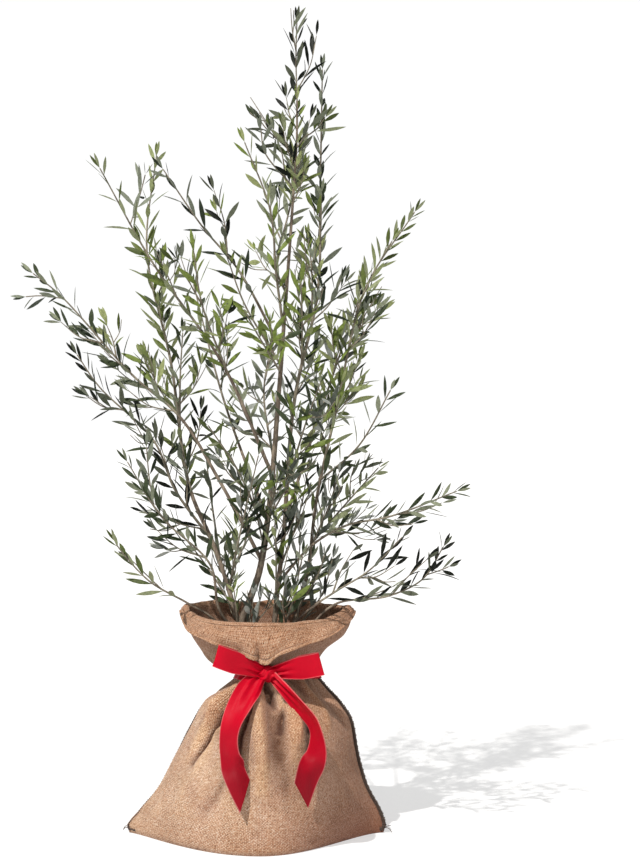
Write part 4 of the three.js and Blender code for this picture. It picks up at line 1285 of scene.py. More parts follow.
    def overlock(self, way: Way, girth: float) -> Surface:
        """Makes an overlocked seam: a bead along the way with a thread wound round it in small even turns.

        Args:
            way: The seam's line.
            girth: The bead's radius.

        Returns:
            The surface.
        """
        count = int(way.length / 2.0)
        bead = tube(way, np.linspace(0, 1, count), np.full(count, girth * 0.8), 6)
        steps = int(way.length / self.winding) * 8
        shares = np.linspace(0, 1, steps)
        phase = shares * way.length / self.winding * FULL_TURN
        centre, ahead = way.at(shares), way.heading(shares)
        side = unit(np.cross(ahead, np.array([0.0, 1.0, 0.0])))
        other = np.cross(ahead, side)
        lift = girth * (1 + 0.15 * np.sin(phase * 0.37))[:, None]
        helix = centre + lift * (np.cos(phase)[:, None] * side + np.sin(phase)[:, None] * other)
        wound = tube(Way(helix), shares, np.full(steps, 0.75), 4)
        return Surface.joined([bead, wound])

    def frontal(self) -> Array:
        """Gives how far each sector round the neck faces the front, from 0 to 1."""
        return np.maximum(0.0, -np.sin((np.arange(self.sectors) + 0.5) / self.sectors * FULL_TURN))

    def neck_cord(self) -> Surface:
        """Makes the twisted cord that draws the neck in, just above the ribbon.

        Returns:
            Two strands that turn round each other on a ring outside the cloth.
        """
        base = self.girdle(np.full((1, self.sectors), self.neck - 2), 2.2)[0]
        base[:, 2] = self.neck + 1.5 + 11 * self.frontal()
        base = np.vstack([base, base[:1]])
        steps = len(base)
        turn = np.linspace(0, 360, steps)
        outward = spokes(turn)
        strands = []
        for start in (0.0, math.pi):
            phase = np.radians(turn) * 34 + start
            strand = base + 1.3 * (np.cos(phase)[:, None] * outward + np.sin(phase)[:, None] * UP)
            strands.append(tube(Way(strand), np.linspace(0, 1, steps * 2), np.full(steps * 2, 1.5), 6))
        return Surface.joined(strands)

    def loose_threads(self) -> Surface:
        """Makes the thread ends that stick out at the two corners of the foot.

        Returns:
            The surface.
        """
        ends = (
            ((-198, -3, 10), (-204, -6, 12), (-207, -12, 9)),
            ((-200, -2, 8), (-206, 2, 7), (-209, 5, 3)),
            ((182, -3, 9), (189, -6, 8), (193, -12, 4)),
            ((181, -2, 7), (188, -2, 11), (192, 2, 10)),
        )
        return Surface.joined([tube(Way(end), np.linspace(0, 1, 12), np.full(12, 0.55), 5) for end in ends])

    def make(self) -> None:
        """Makes the sack and hands its pieces to the frame."""
        burlap = Burlap().material()
        thread = Thread("seam_thread", 0x5C4B40, 0x241B18).material()
        cord = Thread("neck_cord_fibre", 0x9A7C66, 0x4C3A30).material()
        settle(self.body().made("burlap_body", [burlap]), ["sack"])
        settle(self.collar().made("burlap_collar", [burlap]), ["sack"])
        right_seam = self.overlock(self.seam_way(self.seam_turn, 344, self.seam_turn, 2.0), 2.8)
        settle(right_seam.made("seam_right", [thread]))
        left_seam = self.overlock(self.seam_way(180, 200, self.left_seam_turn, 0.6), 1.5)
        settle(left_seam.made("seam_left", [thread]))
        settle(self.neck_cord().made("neck_cord", [cord]))
        settle(self.loose_threads().made("seam_ends", [thread]))


@dataclass(frozen=True)
class Loop:
    """One loop of the bow: its outer fold's place, its lean in degrees and its width there."""

    tip: Place
    lean: float
    edge: float


@dataclass(frozen=True)
class Tail:
    """One tail of the bow: places down its middle, how far it faces aside and leans, and its cut's side."""

    name: str
    places: tuple[Place, ...]
    turns: Row
    leans: Row
    cut_side: int
    start_width: float
    full_by: float


@dataclass(frozen=True)
class Bow:
    """The satin ribbon: a band round the neck, a knot, two flattened loops and two tails cut aslant."""

    sack: Sack
    width: float = 36.0
    thick: float = 0.7
    knot: Place = (10.0, -62.0, 253.0)
    knot_size: Place = (15.0, 14.0, 12.5)
    loop_gap: float = 7.0
    cut: float = 34.0
    across_steps: int = 15
    sharp: float = 60.0
    loops: tuple[Loop, ...] = (Loop((-64, -92, 285), 15, 33), Loop((88, -92, 273), -15, 34))
    tails: tuple[Tail, ...] = (
        Tail(
            name="left",
            places=(
                (-4, -67, 251), (-27, -102, 219), (-43, -121, 182),
                (-44, -127, 150), (-33, -131, 116), (-15, -131, 73),
            ),
            turns=(-16, -30, -46, -38, 16, 38),
            leans=(38, 30, 12, -4, -22, -24),
            cut_side=1,
            start_width=0.72,
            full_by=0.12,
        ),
        Tail(
            name="right",
            places=(
                (15, -66, 250), (50, -100, 220), (77, -119, 190),
                (81, -128, 154), (68, -131, 118), (54, -131, 74),
            ),
            turns=(-44, -64, -64, -44, 10, 32),
            leans=(-46, -44, -30, 6, 22, 22),
            cut_side=-1,
            start_width=0.5,
            full_by=0.24,
        ),
    )  # fmt: skip

    def strip(
        self, centres: Array, across: Array, widths: Array, heave: Array, shift: Array | None = None
    ) -> Surface:
        """Makes a closed strip of ribbon.

        A cross-section is a ring: a row of points on the face and, a thickness away, a row on the back.

        Args:
            centres: Places along the middle.
            across: The direction of the width at each place, square to the way.
            widths: The width at each place.
            heave: How far the face stands out, by place and by step across.
            shift: How far each point is moved along the ribbon, by place and by step across.

        Returns:
            The strip.
        """
        steps = np.linspace(-0.5, 0.5, self.across_steps)
        ahead = unit(np.gradient(centres, axis=0))
        across = unit(across - ahead * np.sum(across * ahead, axis=1, keepdims=True))
        facing = np.cross(across, ahead)
        middle = centres[:, None] + across[:, None] * (steps[None, :, None] * widths[:, None, None])
        if shift is not None:
            middle = middle + ahead[:, None] * shift[..., None]
        selvedge = 0.25 * ease(0.44, 0.5, np.abs(steps))[None]
        face = middle + facing[:, None] * (heave + self.thick / 2 + selvedge)[..., None]
        back = middle + facing[:, None] * (heave - self.thick / 2 - selvedge)[..., None]
        rings = np.concatenate([face, back[:, ::-1]], axis=1)
        u = np.concatenate([steps, steps[::-1], steps[:1]]) * self.width
        ends = (rings[k].mean(axis=0) for k in (0, -1))
        return ring_shell(rings, *ends, u, distance_along(centres))

    def loop(self, loop: Loop) -> Surface:
        """Makes one loop: out from the knot along the front, sharply round its fold and back behind.

        It narrows to the knot, and creases that are waves across its width run out from there.

        Args:
            loop: Its sizes.

        Returns:
            The strip.
        """
        knot, tip = np.array(self.knot), np.array(loop.tip, float)
        reach = tip - knot
        ahead = unit(reach)
        back = unit(np.array([0.0, 1.0, 0.0]) - ahead * ahead[1])
        lean = math.radians(loop.lean)
        straight = np.array([math.sin(lean), 0.0, math.cos(lean)])
        way = Way(
            [
                knot,
                knot + reach * 0.45 - back * (self.loop_gap / 2),
                tip - ahead * 8 - back * (self.loop_gap / 2.2),
                tip,
                tip - ahead * 8 + back * (self.loop_gap / 2.2),
                knot + reach * 0.45 + back * (self.loop_gap / 2),
                knot + back * 3,
            ]
        )
        centres = way.at(np.linspace(0, 1, 140))
        spread = np.minimum(1, np.linalg.norm(centres - knot, axis=1) / 55)
        widths = mix(0.42, loop.edge / self.width, spread) * self.width
        steps = np.linspace(-0.5, 0.5, self.across_steps)[None]
        pinch = (1 - ease(0.15, 1.0, spread))[:, None]
        crease = 1.9 * np.cos(steps * 17 + 0.6) + 1.0 * np.cos(steps * 31 + 2.0)
        sag = 1.4 * np.sin(spread[:, None] * 3.1) * np.cos(steps * 3.0)
        across = np.broadcast_to(straight, centres.shape)
        return self.strip(centres, across, widths, pinch * crease + sag)

    def tail(self, tail: Tail) -> Surface:
        """Makes one tail, pinched where it leaves the knot and cut aslant at its end.

        Its middle follows the places, and its width turns and leans with the tables.

        Args:
            tail: Its sizes.

        Returns:
            The strip.
        """
        way = Way(tail.places)
        station = np.linspace(0, 1, 110)
        centres = way.at(way.by_station(station))
        stops = np.linspace(0, 1, len(tail.turns))
        turn = np.radians(smooth_through(stops, tail.turns, station))
        lean = np.radians(smooth_through(stops, tail.leans, station))
        across = np.stack([np.cos(turn) * np.cos(lean), np.sin(turn), -np.sin(lean)], axis=-1)
        widths = mix(tail.start_width, 1.0, ease(0, tail.full_by, station)) * self.width
        steps = np.linspace(-0.5, 0.5, self.across_steps)[None]
        pinch = (1 - ease(0.02, 0.34, station))[:, None]
        crease = 2.0 * np.cos(steps * 14 + 1.0 + station[:, None] * 6) + 0.9 * np.cos(steps * 27)
        curl = 1.3 * np.cos(steps * math.pi * 2) * np.sin(station * 5.5 + 0.5)[:, None]
        curl = curl + 1.1 * bumps(station[:, None] * 9 + steps * 1.6, steps + 3, 45)
        cut = ease(0.62, 1, station)[:, None] * self.cut
        shift = -cut * (0.5 + tail.cut_side * steps)
        return self.strip(centres, -across, widths, -(pinch * crease + curl), np.flip(shift, axis=1))

    def knot_surface(self) -> Surface:
        """Makes the knot: a ball drawn to the knot's size, with a waist and waves across a slanting line.

        Returns:
            The surface.
        """
        height = np.linspace(-math.pi / 2, math.pi / 2, 50)[1:-1, None]
        turn = np.linspace(0, FULL_TURN, 72, endpoint=False)[None]
        x, y = np.cos(height) * np.cos(turn), np.cos(height) * np.sin(turn)
        z = np.broadcast_to(np.sin(height), x.shape)
        slant = x * 0.75 - z * 0.95 + 0.25 * np.sin(x * 3 + z * 2)
        ribs = 1 + 0.085 * np.cos(slant * 7.5) + 0.035 * np.cos(slant * 15 + 1)
        waist = 1 - 0.13 * np.exp(-((x * 0.9 + z * 0.5) ** 2) * 9)
        size, knot = np.array(self.knot_size), np.array(self.knot)
        rings = knot + np.stack([x, y, z], axis=-1) * size * (ribs * waist)[..., None]
        u, v = np.linspace(-12, 12, 73), np.linspace(0, 40, 48)
        return ring_shell(rings, knot - UP * size[2], knot + UP * size[2], u, v)

    def band(self) -> Surface:
        """Makes the band round the neck: a hoop drawn over the pleats, higher in front, behind the knot.

        In each sector it is a flat ring of points, from its low edge to its high edge and back.

        Returns:
            The surface.
        """
        sack = self.sack
        rise = np.linspace(-1, 1, 11)[:, None]
        z = sack.neck - 7 + rise * mix(6.5, 7.5, sack.frontal()[None]) + 9.0 * sack.frontal()[None]
        sector = np.arange(sack.sectors)[None]
        crease = 0.35 * np.cos(rise * 3 + 1.5 * bumps(sector * 18 / sack.sectors, 0 * sector, 41, 18))
        outer = sack.girdle(z, 1.7 + crease)
        inner = sack.girdle(z, 1.0)
        rings = np.concatenate([outer, inner[::-1]])
        u = np.linspace(-16, 16, sack.sectors + 1)
        v = np.concatenate([np.linspace(0, 18, 11), np.linspace(18, 0, 11), [0.0]])
        return hoop_shell(rings, u, v)

    def make(self) -> None:
        """Makes the bow and hands its pieces to the frame."""
        satin = Satin(width=self.width).material()
        settle(self.band().made("satin_band", [satin]), ["ribbon_band"])
        left, right = (self.loop(loop) for loop in self.loops)
        settle(left.made("satin_loop_left", [satin], self.sharp), ["ribbon_bow"])
        settle(right.made("satin_loop_right", [satin], self.sharp), ["ribbon_bow"])
        settle(self.knot_surface().made("satin_knot", [satin]), ["ribbon_bow"])
        for tail in self.tails:
            piece = self.tail(tail).made(f"satin_tail_{tail.name}", [satin], self.sharp)
            settle(piece, [f"ribbon_tail_{tail.name}"])


@dataclass(frozen=True)
class Pot:
    """The nursery pot and the mix that fills it."""

    x: float = 18.0
    foot: float = 2.5
    height: float = 164.0
    top_radius: float = 94.0
    foot_radius: float = 80.0
    wall: float = 2.2
    floor: float = 4.0
    lip: float = 2.5
    mix_top: float = 150.0

    def turned(self, profile: Array, sides: int, ribs: Array | None = None) -> Surface:
        """Turns a closed profile round the pot's axis, with ribs that are the upper halves of waves.

        Args:
            profile: Radius and height of each point, from the axis back to the axis.
            sides: Points in a ring.
            ribs: How far the ribs stand out at each point.

        Returns:
            The turned surface.
        """
        turn = np.linspace(0, FULL_TURN, sides, endpoint=False)[None]
        ribbed = np.zeros(len(profile)) if ribs is None else ribs
        radius = profile[1:-1, :1] + ribbed[1:-1, None] * np.maximum(0, np.cos(turn * 24))
        height = np.broadcast_to(profile[1:-1, 1:], radius.shape)
        rings = np.stack([self.x + radius * np.cos(turn), radius * np.sin(turn), height], axis=-1)
        ends = [np.array([self.x, 0.0, profile[k, 1]]) for k in (0, -1)]
        return ring_shell(rings, ends[0], ends[1])

    def pot(self) -> Surface:
        """Makes the pot: a tapered wall with shallow ribs and a rolled lip, on a flat foot.

        Returns:
            The surface.
        """
        top, floor_top = self.foot + self.height, self.foot + self.floor
        roll = [
            (self.top_radius + self.lip * math.cos(angle), top - self.lip + self.lip * math.sin(angle))
            for angle in np.linspace(0, math.pi / 2, 5)
        ]
        outside = [(0, self.foot), (self.foot_radius - 6, self.foot), (self.foot_radius, self.foot + 3)]
        shares = [k / 12 for k in range(1, 13)]
        outside += [(mix(self.foot_radius, self.top_radius, k), mix(8, top - 14, k)) for k in shares]
        outside += [(self.top_radius + self.lip, top - 12), *roll]
        inside = [(self.top_radius - self.wall, top - 1), (self.top_radius - self.wall, top - 6)]
        inside += [(self.foot_radius - self.wall, floor_top), (0, floor_top)]
        profile = np.array(outside + inside, float)
        ribs = np.zeros(len(profile))
        ribs[4:14] = 0.8
        return self.turned(profile, 144, ribs)

    def crumb_bed(self) -> Surface:
        """Makes the mix: a block that fills the pot, its top raised and dented by soft bumps.

        Returns:
            The surface.
        """
        low, high = self.foot + self.floor + 0.4, self.mix_top
        rim = self.top_radius - self.wall - 1.5
        profile = [(0, low), (self.foot_radius - self.wall - 1.5, low), (rim, high - 3)]
        profile += [(rim * share, high) for share in np.linspace(0.98, 0, 46)]
        bed = self.turned(np.array(profile, float), 150)
        places = bed.places.copy()
        top = places[:, 2] > high - 2
        lumps = bumps(places[:, 0] / 9 + 40, places[:, 1] / 9 + 40, 51)
        lumps = lumps + 0.6 * bumps(places[:, 0] / 3.5 + 90, places[:, 1] / 3.5 + 90, 53)
        places[:, 2] += np.where(top, 1.7 * lumps - 0.5, 0)
        return Surface(places, bed.faces)

    def chips(self) -> Surface:
        """Makes the bark chips on the mix: small wedges of eight faces, seeded in place, size and turn.

        Returns:
            The wedges as one surface.
        """
        draw = np.random.default_rng(57)
        count = 260
        radius = (self.top_radius - 12) * np.sqrt(draw.uniform(0.03, 1, count))
        angle, spin = draw.uniform(0, FULL_TURN, (2, count))
        size = draw.uniform((3, 1.6, 0.8), (8, 4.5, 2.2), (count, 3))
        corners = np.array([(1, 0, 0), (0, 1, 0), (-1, 0, 0), (0, -1, 0), (0, 0, 1), (0, 0, -1)], float)
        local = corners[None] * size[:, None]
        local[..., 2] += draw.uniform(-0.5, 0.5, (count, 6)) * size[:, 2:]
        x = local[..., 0] * np.cos(spin)[:, None] - local[..., 1] * np.sin(spin)[:, None]
        y = local[..., 0] * np.sin(spin)[:, None] + local[..., 1] * np.cos(spin)[:, None]
        high = np.full(count, self.mix_top + 1.5)
        centre = np.stack([self.x + radius * np.cos(angle), radius * np.sin(angle), high], axis=-1)
        places = np.stack([x, y, local[..., 2]], axis=-1) + centre[:, None]
        rim = [(k, (k + 1) % 4) for k in range(4)]
        wedge = np.array([(a, b, 4) for a, b in rim] + [(b, a, 5) for a, b in rim])
        faces = (wedge[None] + 6 * np.arange(count)[:, None, None]).reshape(-1, 3)
        return Surface(places.reshape(-1, 3), faces)

    def make(self) -> None:
        """Makes the pot, the mix and its chips and hands them to the frame."""
        settle(self.pot().made("pot_shell", [Moulding().material()], 40), ["nursery_pot"])
        settle(self.crumb_bed().made("mix_bed", [Crumbs().material()]), ["potting_mix"])
        chips = Crumbs("bark_chips", 0x3B2516, 0x7A583A)
        settle(self.chips().made("mix_chips", [chips.material()], 20))


TRUNK_PLACES = (
    (4, -10, 138), (-6, -10, 205), (-19, -8, 262), (-30, -5, 316), (-17, -4, 356), (-3, -4, 398),
    (12, -4, 500), (21, -3, 603), (33, -2, 760), (45, 0, 922), (52, 2, 1030), (52.5, 2, 1086),
)  # fmt: skip


@dataclass
class Limb:
    """A limb of the tree: leaves its parent at a height, goes by way of its places and ends at its tip.

    It is bare wood for the share called bare, and carries foliage from there on, as far out as its reach. The
    fuller it is, the closer its side twigs stand. A limb that springs from a parent's leafy part is a fork
    inside that parent's mass.
    """

    name: str
    parent_name: str
    leaves_at: float
    bare: float
    tip: Place
    via: tuple[Place, ...]
    reach: float = 84.0
    full: float = 1.0
    parent: "Limb | None" = None
    way: Way | None = None
    seed: int = 0
    joint: float = 0.0
    base_radius: float = 0.0
    in_parent_mass: bool = False
    samples: Array = field(default_factory=lambda: np.zeros((0, 3)))

    TIP_LEAF = 26.0
    TIP_REACH = 37.0
    SAMPLES = 14
    TIP_TAPER = 0.21
    THINNEST = 0.9
    THICKNESS = 1.2
    THICKENING = 0.0032
    OF_PARENT = 0.8

    def radius_at(self, share: Number) -> Number:
        """Gives the limb's radius: an even taper from its foot to its tip."""
        return mix(self.base_radius, max(self.THINNEST, self.base_radius * self.TIP_TAPER), share)

    def lay(self, parent: "Limb", seed: int) -> None:
        """Lays the limb's way from a place on its parent to its tip.

        The radius at its foot grows with its length, up to a share of its parent's there.

        Args:
            parent: The limb that carries it.
            seed: Its number in the table, which starts its row of numbers.
        """
        self.parent, self.seed = parent, seed
        self.joint = parent.way.at_height(self.leaves_at)
        tip, before = np.array(self.tip, float), np.array(self.via[-1], float)
        tip = mix(tip, before, self.TIP_LEAF / np.linalg.norm(tip - before))
        self.way = Way([parent.way.at(self.joint), *self.via, tip])
        thickest = self.OF_PARENT * float(parent.radius_at(self.joint))
        self.base_radius = min(self.THICKNESS + self.THICKENING * self.way.length, thickest)
        self.in_parent_mass = self.joint > parent.bare + 0.01
        steps = np.linspace(0, 1, self.SAMPLES + 1)
        self.samples = self.way.at(mix(self.leafy_from, 1, steps))

    @property
    def leafy_from(self) -> float:
        """The share of the limb's length at which its foliage starts."""
        return 0.0 if self.in_parent_mass else self.bare

    @property
    def mass(self) -> "Limb":
        """The limb whose mass of foliage this one belongs to."""
        return self.parent.mass if self.in_parent_mass else self

    def holds(self, place: Array) -> bool:
        """Says whether a place lies in the limb's space: near its leafy part and not past its tip.

        Args:
            place: The place.

        Returns:
            Whether it does.
        """
        past = float(np.dot(place - self.way.at(1.0), self.way.heading(1.0)))
        steps = np.linspace(0, 1, self.SAMPLES + 1)
        allowed = mix(self.reach, min(self.reach, self.TIP_REACH), steps**2)
        near = np.linalg.norm(self.samples - place, axis=1) < allowed
        return past <= self.TIP_LEAF + 2 and bool(near.any())


@dataclass
class Trunk(Limb):
    """The main stem, which every other limb grows from: thick and flared at its foot, fine at its tip."""

    foot_radius: float = 7.2
    top_radius: float = 1.3
    flare: float = 5.0
    flare_height: float = 34.0
    carried: list[Limb] = field(default_factory=list)

    def radius_at(self, share: Number) -> Number:
        """Gives the trunk's radius: its taper, and a flare that dies out above the foot."""
        flare = self.flare * np.maximum(0, 1 - share * self.way.length / self.flare_height) ** 2
        return mix(self.foot_radius, self.top_radius, share**0.7) + flare

    def holds(self, place: Array) -> bool:
        """Says whether a place lies in the space of any limb that the trunk carries."""
        return any(limb.holds(place) for limb in self.carried)


LIMBS = (
    Limb("left_stem", "trunk", 300, 0.3, (-158, 90, 1036), ((-68, 3, 424), (-109, 25, 519),
        (-137, 46, 703), (-174, 72, 870)), full=0.6),
    Limb("right_stem", "trunk", 190, 0.46, (90, 40, 1161), ((12, -19, 262), (22, -15, 356), (32, -6, 448),
        (48, 2, 646), (83, 12, 810), (86, 26, 943)), full=0.9),
    Limb("far_right_stem", "right_stem", 250, 0.44, (241, 60, 948), ((42, -4, 306), (65, 6, 379),
        (82, 18, 506), (111, 30, 635), (153, 42, 811)), full=1.1),
    Limb("left_arm", "trunk", 411, 0.44, (-359, 30, 851), ((-63, 0, 530), (-121, 8, 623), (-191, 17, 684),
        (-299, 26, 803)), 56, full=1.6),
    Limb("left_inner", "trunk", 538, 0.4, (-241, -70, 1007), ((-57, -29, 705), (-156, -50, 851)), full=0.3),
    Limb("left_long", "trunk", 722, 0.26, (-155, -44, 1006), ((-33, -22, 840), (-85, -30, 903)), full=0.2),
    Limb("left_low", "trunk", 268, 0.5, (-223, -60, 468), ((-76, -24, 331), (-113, -30, 354),
        (-164, -42, 386), (-208, -54, 438)), 34, full=0.55),
    Limb("left_mid", "trunk", 288, 0.36, (-201, -110, 588), ((-62, -32, 342), (-74, -54, 412),
        (-143, -83, 486)), full=0.5),
    Limb("right_arm", "right_stem", 380, 0.3, (308, -60, 529), ((74, -16, 435), (123, -24, 465),
        (190, -38, 481)), 42),
    Limb("right_low", "right_stem", 226, 0.5, (280, -40, 458), ((62, -27, 304), (108, -31, 350),
        (186, -31, 362), (237, -34, 388)), 36),
    Limb("right_front", "right_stem", 276, 0.42, (219, -130, 478), ((62, -46, 338), (109, -76, 376),
        (155, -96, 408)), 48, full=0.7),
    Limb("back_left", "trunk", 470, 0.34, (-120, 235, 840), ((-60, 106, 640),), full=0.2),
    Limb("back_right", "right_stem", 470, 0.32, (165, 220, 850), ((92, 104, 640),)),
    Limb("left_fan", "left_stem", 440, 0, (-279, -60, 739), ((-127, -20, 518), (-157, -30, 591),
        (-234, -50, 671)), 66),
    Limb("left_spray", "left_inner", 690, 0, (-94, -150, 890), ((-82, -90, 790),), full=0.8),
    Limb("inner_left", "left_stem", 366, 0, (4, -120, 600), ((-34, -66, 440),), full=0.5),
    Limb("left_skirt", "left_stem", 336, 0, (-130, 40, 456), ((-84, 22, 400),), 50, full=0.1),
    Limb("right_spray", "far_right_stem", 528, 0, (196, -130, 689), ((144, -65, 589),), 62, full=0.1),
    Limb("right_back", "far_right_stem", 434, 0, (190, 150, 550), ((132, 80, 494),), 60, full=0.65),
    Limb("right_skirt", "far_right_stem", 344, 0, (98, -74, 446), ((84, -36, 396),), 50, full=0.5),
    Limb("crown_tip", "trunk", 1086, 0, (53, 4, 1226), ((51, 3, 1150),), 52, full=1.8),
    Limb("crown_left", "trunk", 1006, 0, (-19, 46, 1084), ((6, 31, 1049),), 44, full=3.4),
    Limb("crown_front", "trunk", 752, 0, (-31, -60, 1046), ((22, -24, 837), (14, -42, 926)), full=0.05),
    Limb("crown_back", "trunk", 806, 0, (66, 110, 1050), ((22, 22, 842), (40, 70, 930)), full=0.9),
    Limb("inner_high", "trunk", 690, 0, (-30, -128, 800), ((-4, -72, 748),), full=0.6),
    Limb("back_mid", "trunk", 560, 0, (10, 245, 740), ((0, 120, 650),)),
    Limb("back_low", "left_stem", 405, 0, (-96, 215, 560), ((-80, 100, 490),), full=0.1),
    Limb("front_left", "trunk", 450, 0, (-76, -215, 640), ((-30, -106, 552),), full=0.15),
    Limb("front_right", "right_stem", 520, 0, (92, -210, 700), ((62, -100, 610),)),
    Limb("arm_fork", "left_arm", 798, 0, (-377, 40, 799), ((-330, 34, 802),), 30, full=3.0),
    Limb("inner_fork", "left_inner", 905, 0, (-166, 20, 1000), ((-176, -14, 950),), full=0.25),
    Limb("right_fork", "far_right_stem", 745, 0, (196, 96, 800), ((164, 70, 770),), 50, full=1.6),
    Limb("low_fork", "right_low", 394, 0, (292, -70, 420), ((264, -50, 404),), 28),
    Limb("mouth_front", "trunk", 262, 0, (-40, -96, 400), ((-34, -50, 330),), 44, full=0.9),
    Limb("mouth_right", "right_stem", 262, 0, (66, -84, 452), ((44, -44, 350),), 46, full=0.2),
    Limb("mouth_mid", "right_stem", 330, 0, (20, -70, 500), ((22, -46, 410),), 50, full=0.2),
    Limb("mouth_far", "far_right_stem", 290, 0, (112, -20, 440), ((88, -12, 360),), 46, full=0.7),
    Limb("mouth_back", "right_stem", 300, 0, (60, 70, 470), ((50, 36, 380),), 50, full=0.5),
    Limb("mouth_left", "trunk", 300, 0, (-56, 84, 450), ((-58, 44, 380),), 50, full=1.4),
    Limb("mid_front", "trunk", 400, 0, (30, -90, 560), ((12, -50, 480),), 50, full=0.6),
    Limb("mid_back", "right_stem", 400, 0, (72, 60, 560), ((56, 30, 480),), 50, full=1.2),
    Limb("mid_right", "trunk", 470, 0, (66, -70, 600), ((40, -40, 530),), 46, full=1.1),
    Limb("mouth_low", "trunk", 245, 0, (2, -60, 388), ((-8, -34, 310),), 40, full=2.4),
    Limb("crown_right", "right_stem", 760, 0, (66, 30, 912), ((74, 20, 836),), 44, full=1.6),
    Limb("left_high", "left_stem", 600, 0, (-112, -40, 772), ((-120, 0, 680),), 50, full=1.8),
    Limb("left_outer", "left_mid", 500, 0, (-166, -72, 610), ((-160, -82, 545),), 46, full=1.5),
    Limb("right_high", "right_stem", 700, 0, (58, -76, 846), ((60, -36, 774),), 50, full=2.2),
    Limb("left_near", "trunk", 700, 0, (-58, -40, 884), ((-24, -20, 790),), 46, full=0.3),
    Limb("right_mid", "far_right_stem", 430, 0, (120, -52, 566), ((98, -14, 490),), 48, full=2.0),
    Limb("mid_left", "trunk", 430, 0, (-20, -60, 560), ((-8, -34, 490),), 36, full=0.1),
    Limb("right_crest", "far_right_stem", 800, 0, (206, 30, 905), ((176, 34, 855),), 44, full=1.6),
    Limb("crown_side", "trunk", 960, 0, (-4, -30, 1068), ((6, -18, 1010),), 40, full=1.8),
)  # fmt: skip


def laid_limbs() -> dict[str, Limb]:
    """Lays the trunk and every limb of the table, parents first.

    Returns:
        The limbs by name.
    """
    trunk = Trunk("trunk", "", 0, 1.0, TRUNK_PLACES[-1], ())
    trunk.way = Way(TRUNK_PLACES)
    limbs: dict[str, Limb] = {"trunk": trunk}
    for limb in LIMBS:
        limb.lay(limbs[limb.parent_name], len(limbs))
        limbs[limb.name] = limb
    trunk.carried = list(LIMBS)
    return limbs


@dataclass(frozen=True)
class Skeleton:
    """The bare wood: the trunk and the boughs, with the relief of their bark."""

    limbs: dict[str, Limb]
    mix_top: float = 150.0
    trunk_sides: int = 40
    bough_sides: int = 20
    ring_step: float = 2.6
    node_step: float = 24.0
    furrows: float = 0.075
    grain: float = 0.035
    knobs: float = 0.1
    foot_swell: float = 0.35

    def barked(self, limb: Limb, start: float, end: float, sides: int, seed: int) -> Surface:
        """Makes a stretch of limb with bark.

        The radius is the limb's own, swollen a little at each old leaf node and at a bough's foot, and
        roughened by soft noise that is stretched along the limb.

        Args:
            limb: The limb.
            start: The share of its length at which the stretch starts.
            end: The share at which it ends.
            sides: Points in a ring.
            seed: Picks the bark's pattern.

        Returns:
            The tube.
        """
        rings = max(8, round(limb.way.length * (end - start) / self.ring_step))
        shares = np.linspace(start, end, rings)
        run = shares[:, None] * limb.way.length
        turn = np.linspace(0, 1, sides, endpoint=False)[None]
        radius = np.broadcast_to(limb.radius_at(shares[:, None]), (rings, sides))
        furrow = bumps(turn * 9 + 0 * run, run / 22, seed, 9)
        grain = bumps(turn * 18 + 0 * run, run / 7, seed + 1, 18)
        knobs = np.cos(run / self.node_step * FULL_TURN) ** 24
        knobs = knobs * (0.6 + 0.4 * np.cos((turn + run * 0.01) * FULL_TURN))
        foot = self.foot_swell * np.exp(-run / 7) if limb.name != "trunk" else 0 * run
        relief = self.furrows * furrow + self.grain * grain + self.knobs * knobs + foot
        return tube(limb.way, shares, radius * (1 + relief), sides)

    def make(self) -> None:
        """Makes the trunk and each bough and hands them to the frame."""
        bark = Bark("olive_bark", 0x988B7A, 0x6D6053, 0x3C332B).material()
        trunk = self.limbs["trunk"]
        start = trunk.way.at_height(self.mix_top - 3)
        piece = self.barked(trunk, start, 1.0, self.trunk_sides, 61).made("trunk_bark", [bark])
        settle(piece, ["trunk"])
        for limb in self.limbs.values():
            if limb.name != "trunk" and limb.bare > 0:
                wood = self.barked(limb, 0.0, limb.bare + 0.01, self.bough_sides, 61 + 2 * limb.seed)
                settle(wood.made(f"bough_bark_{limb.name}", [bark]), [f"bough_{limb.name}"])


class Leaf(NamedTuple):
    """One leaf's place: its root, the way it points, its upper side's direction, its sizes and its bend."""

    root: Array
    ahead: Array
    facing: Array
    length: float
    width: float
    bend: float


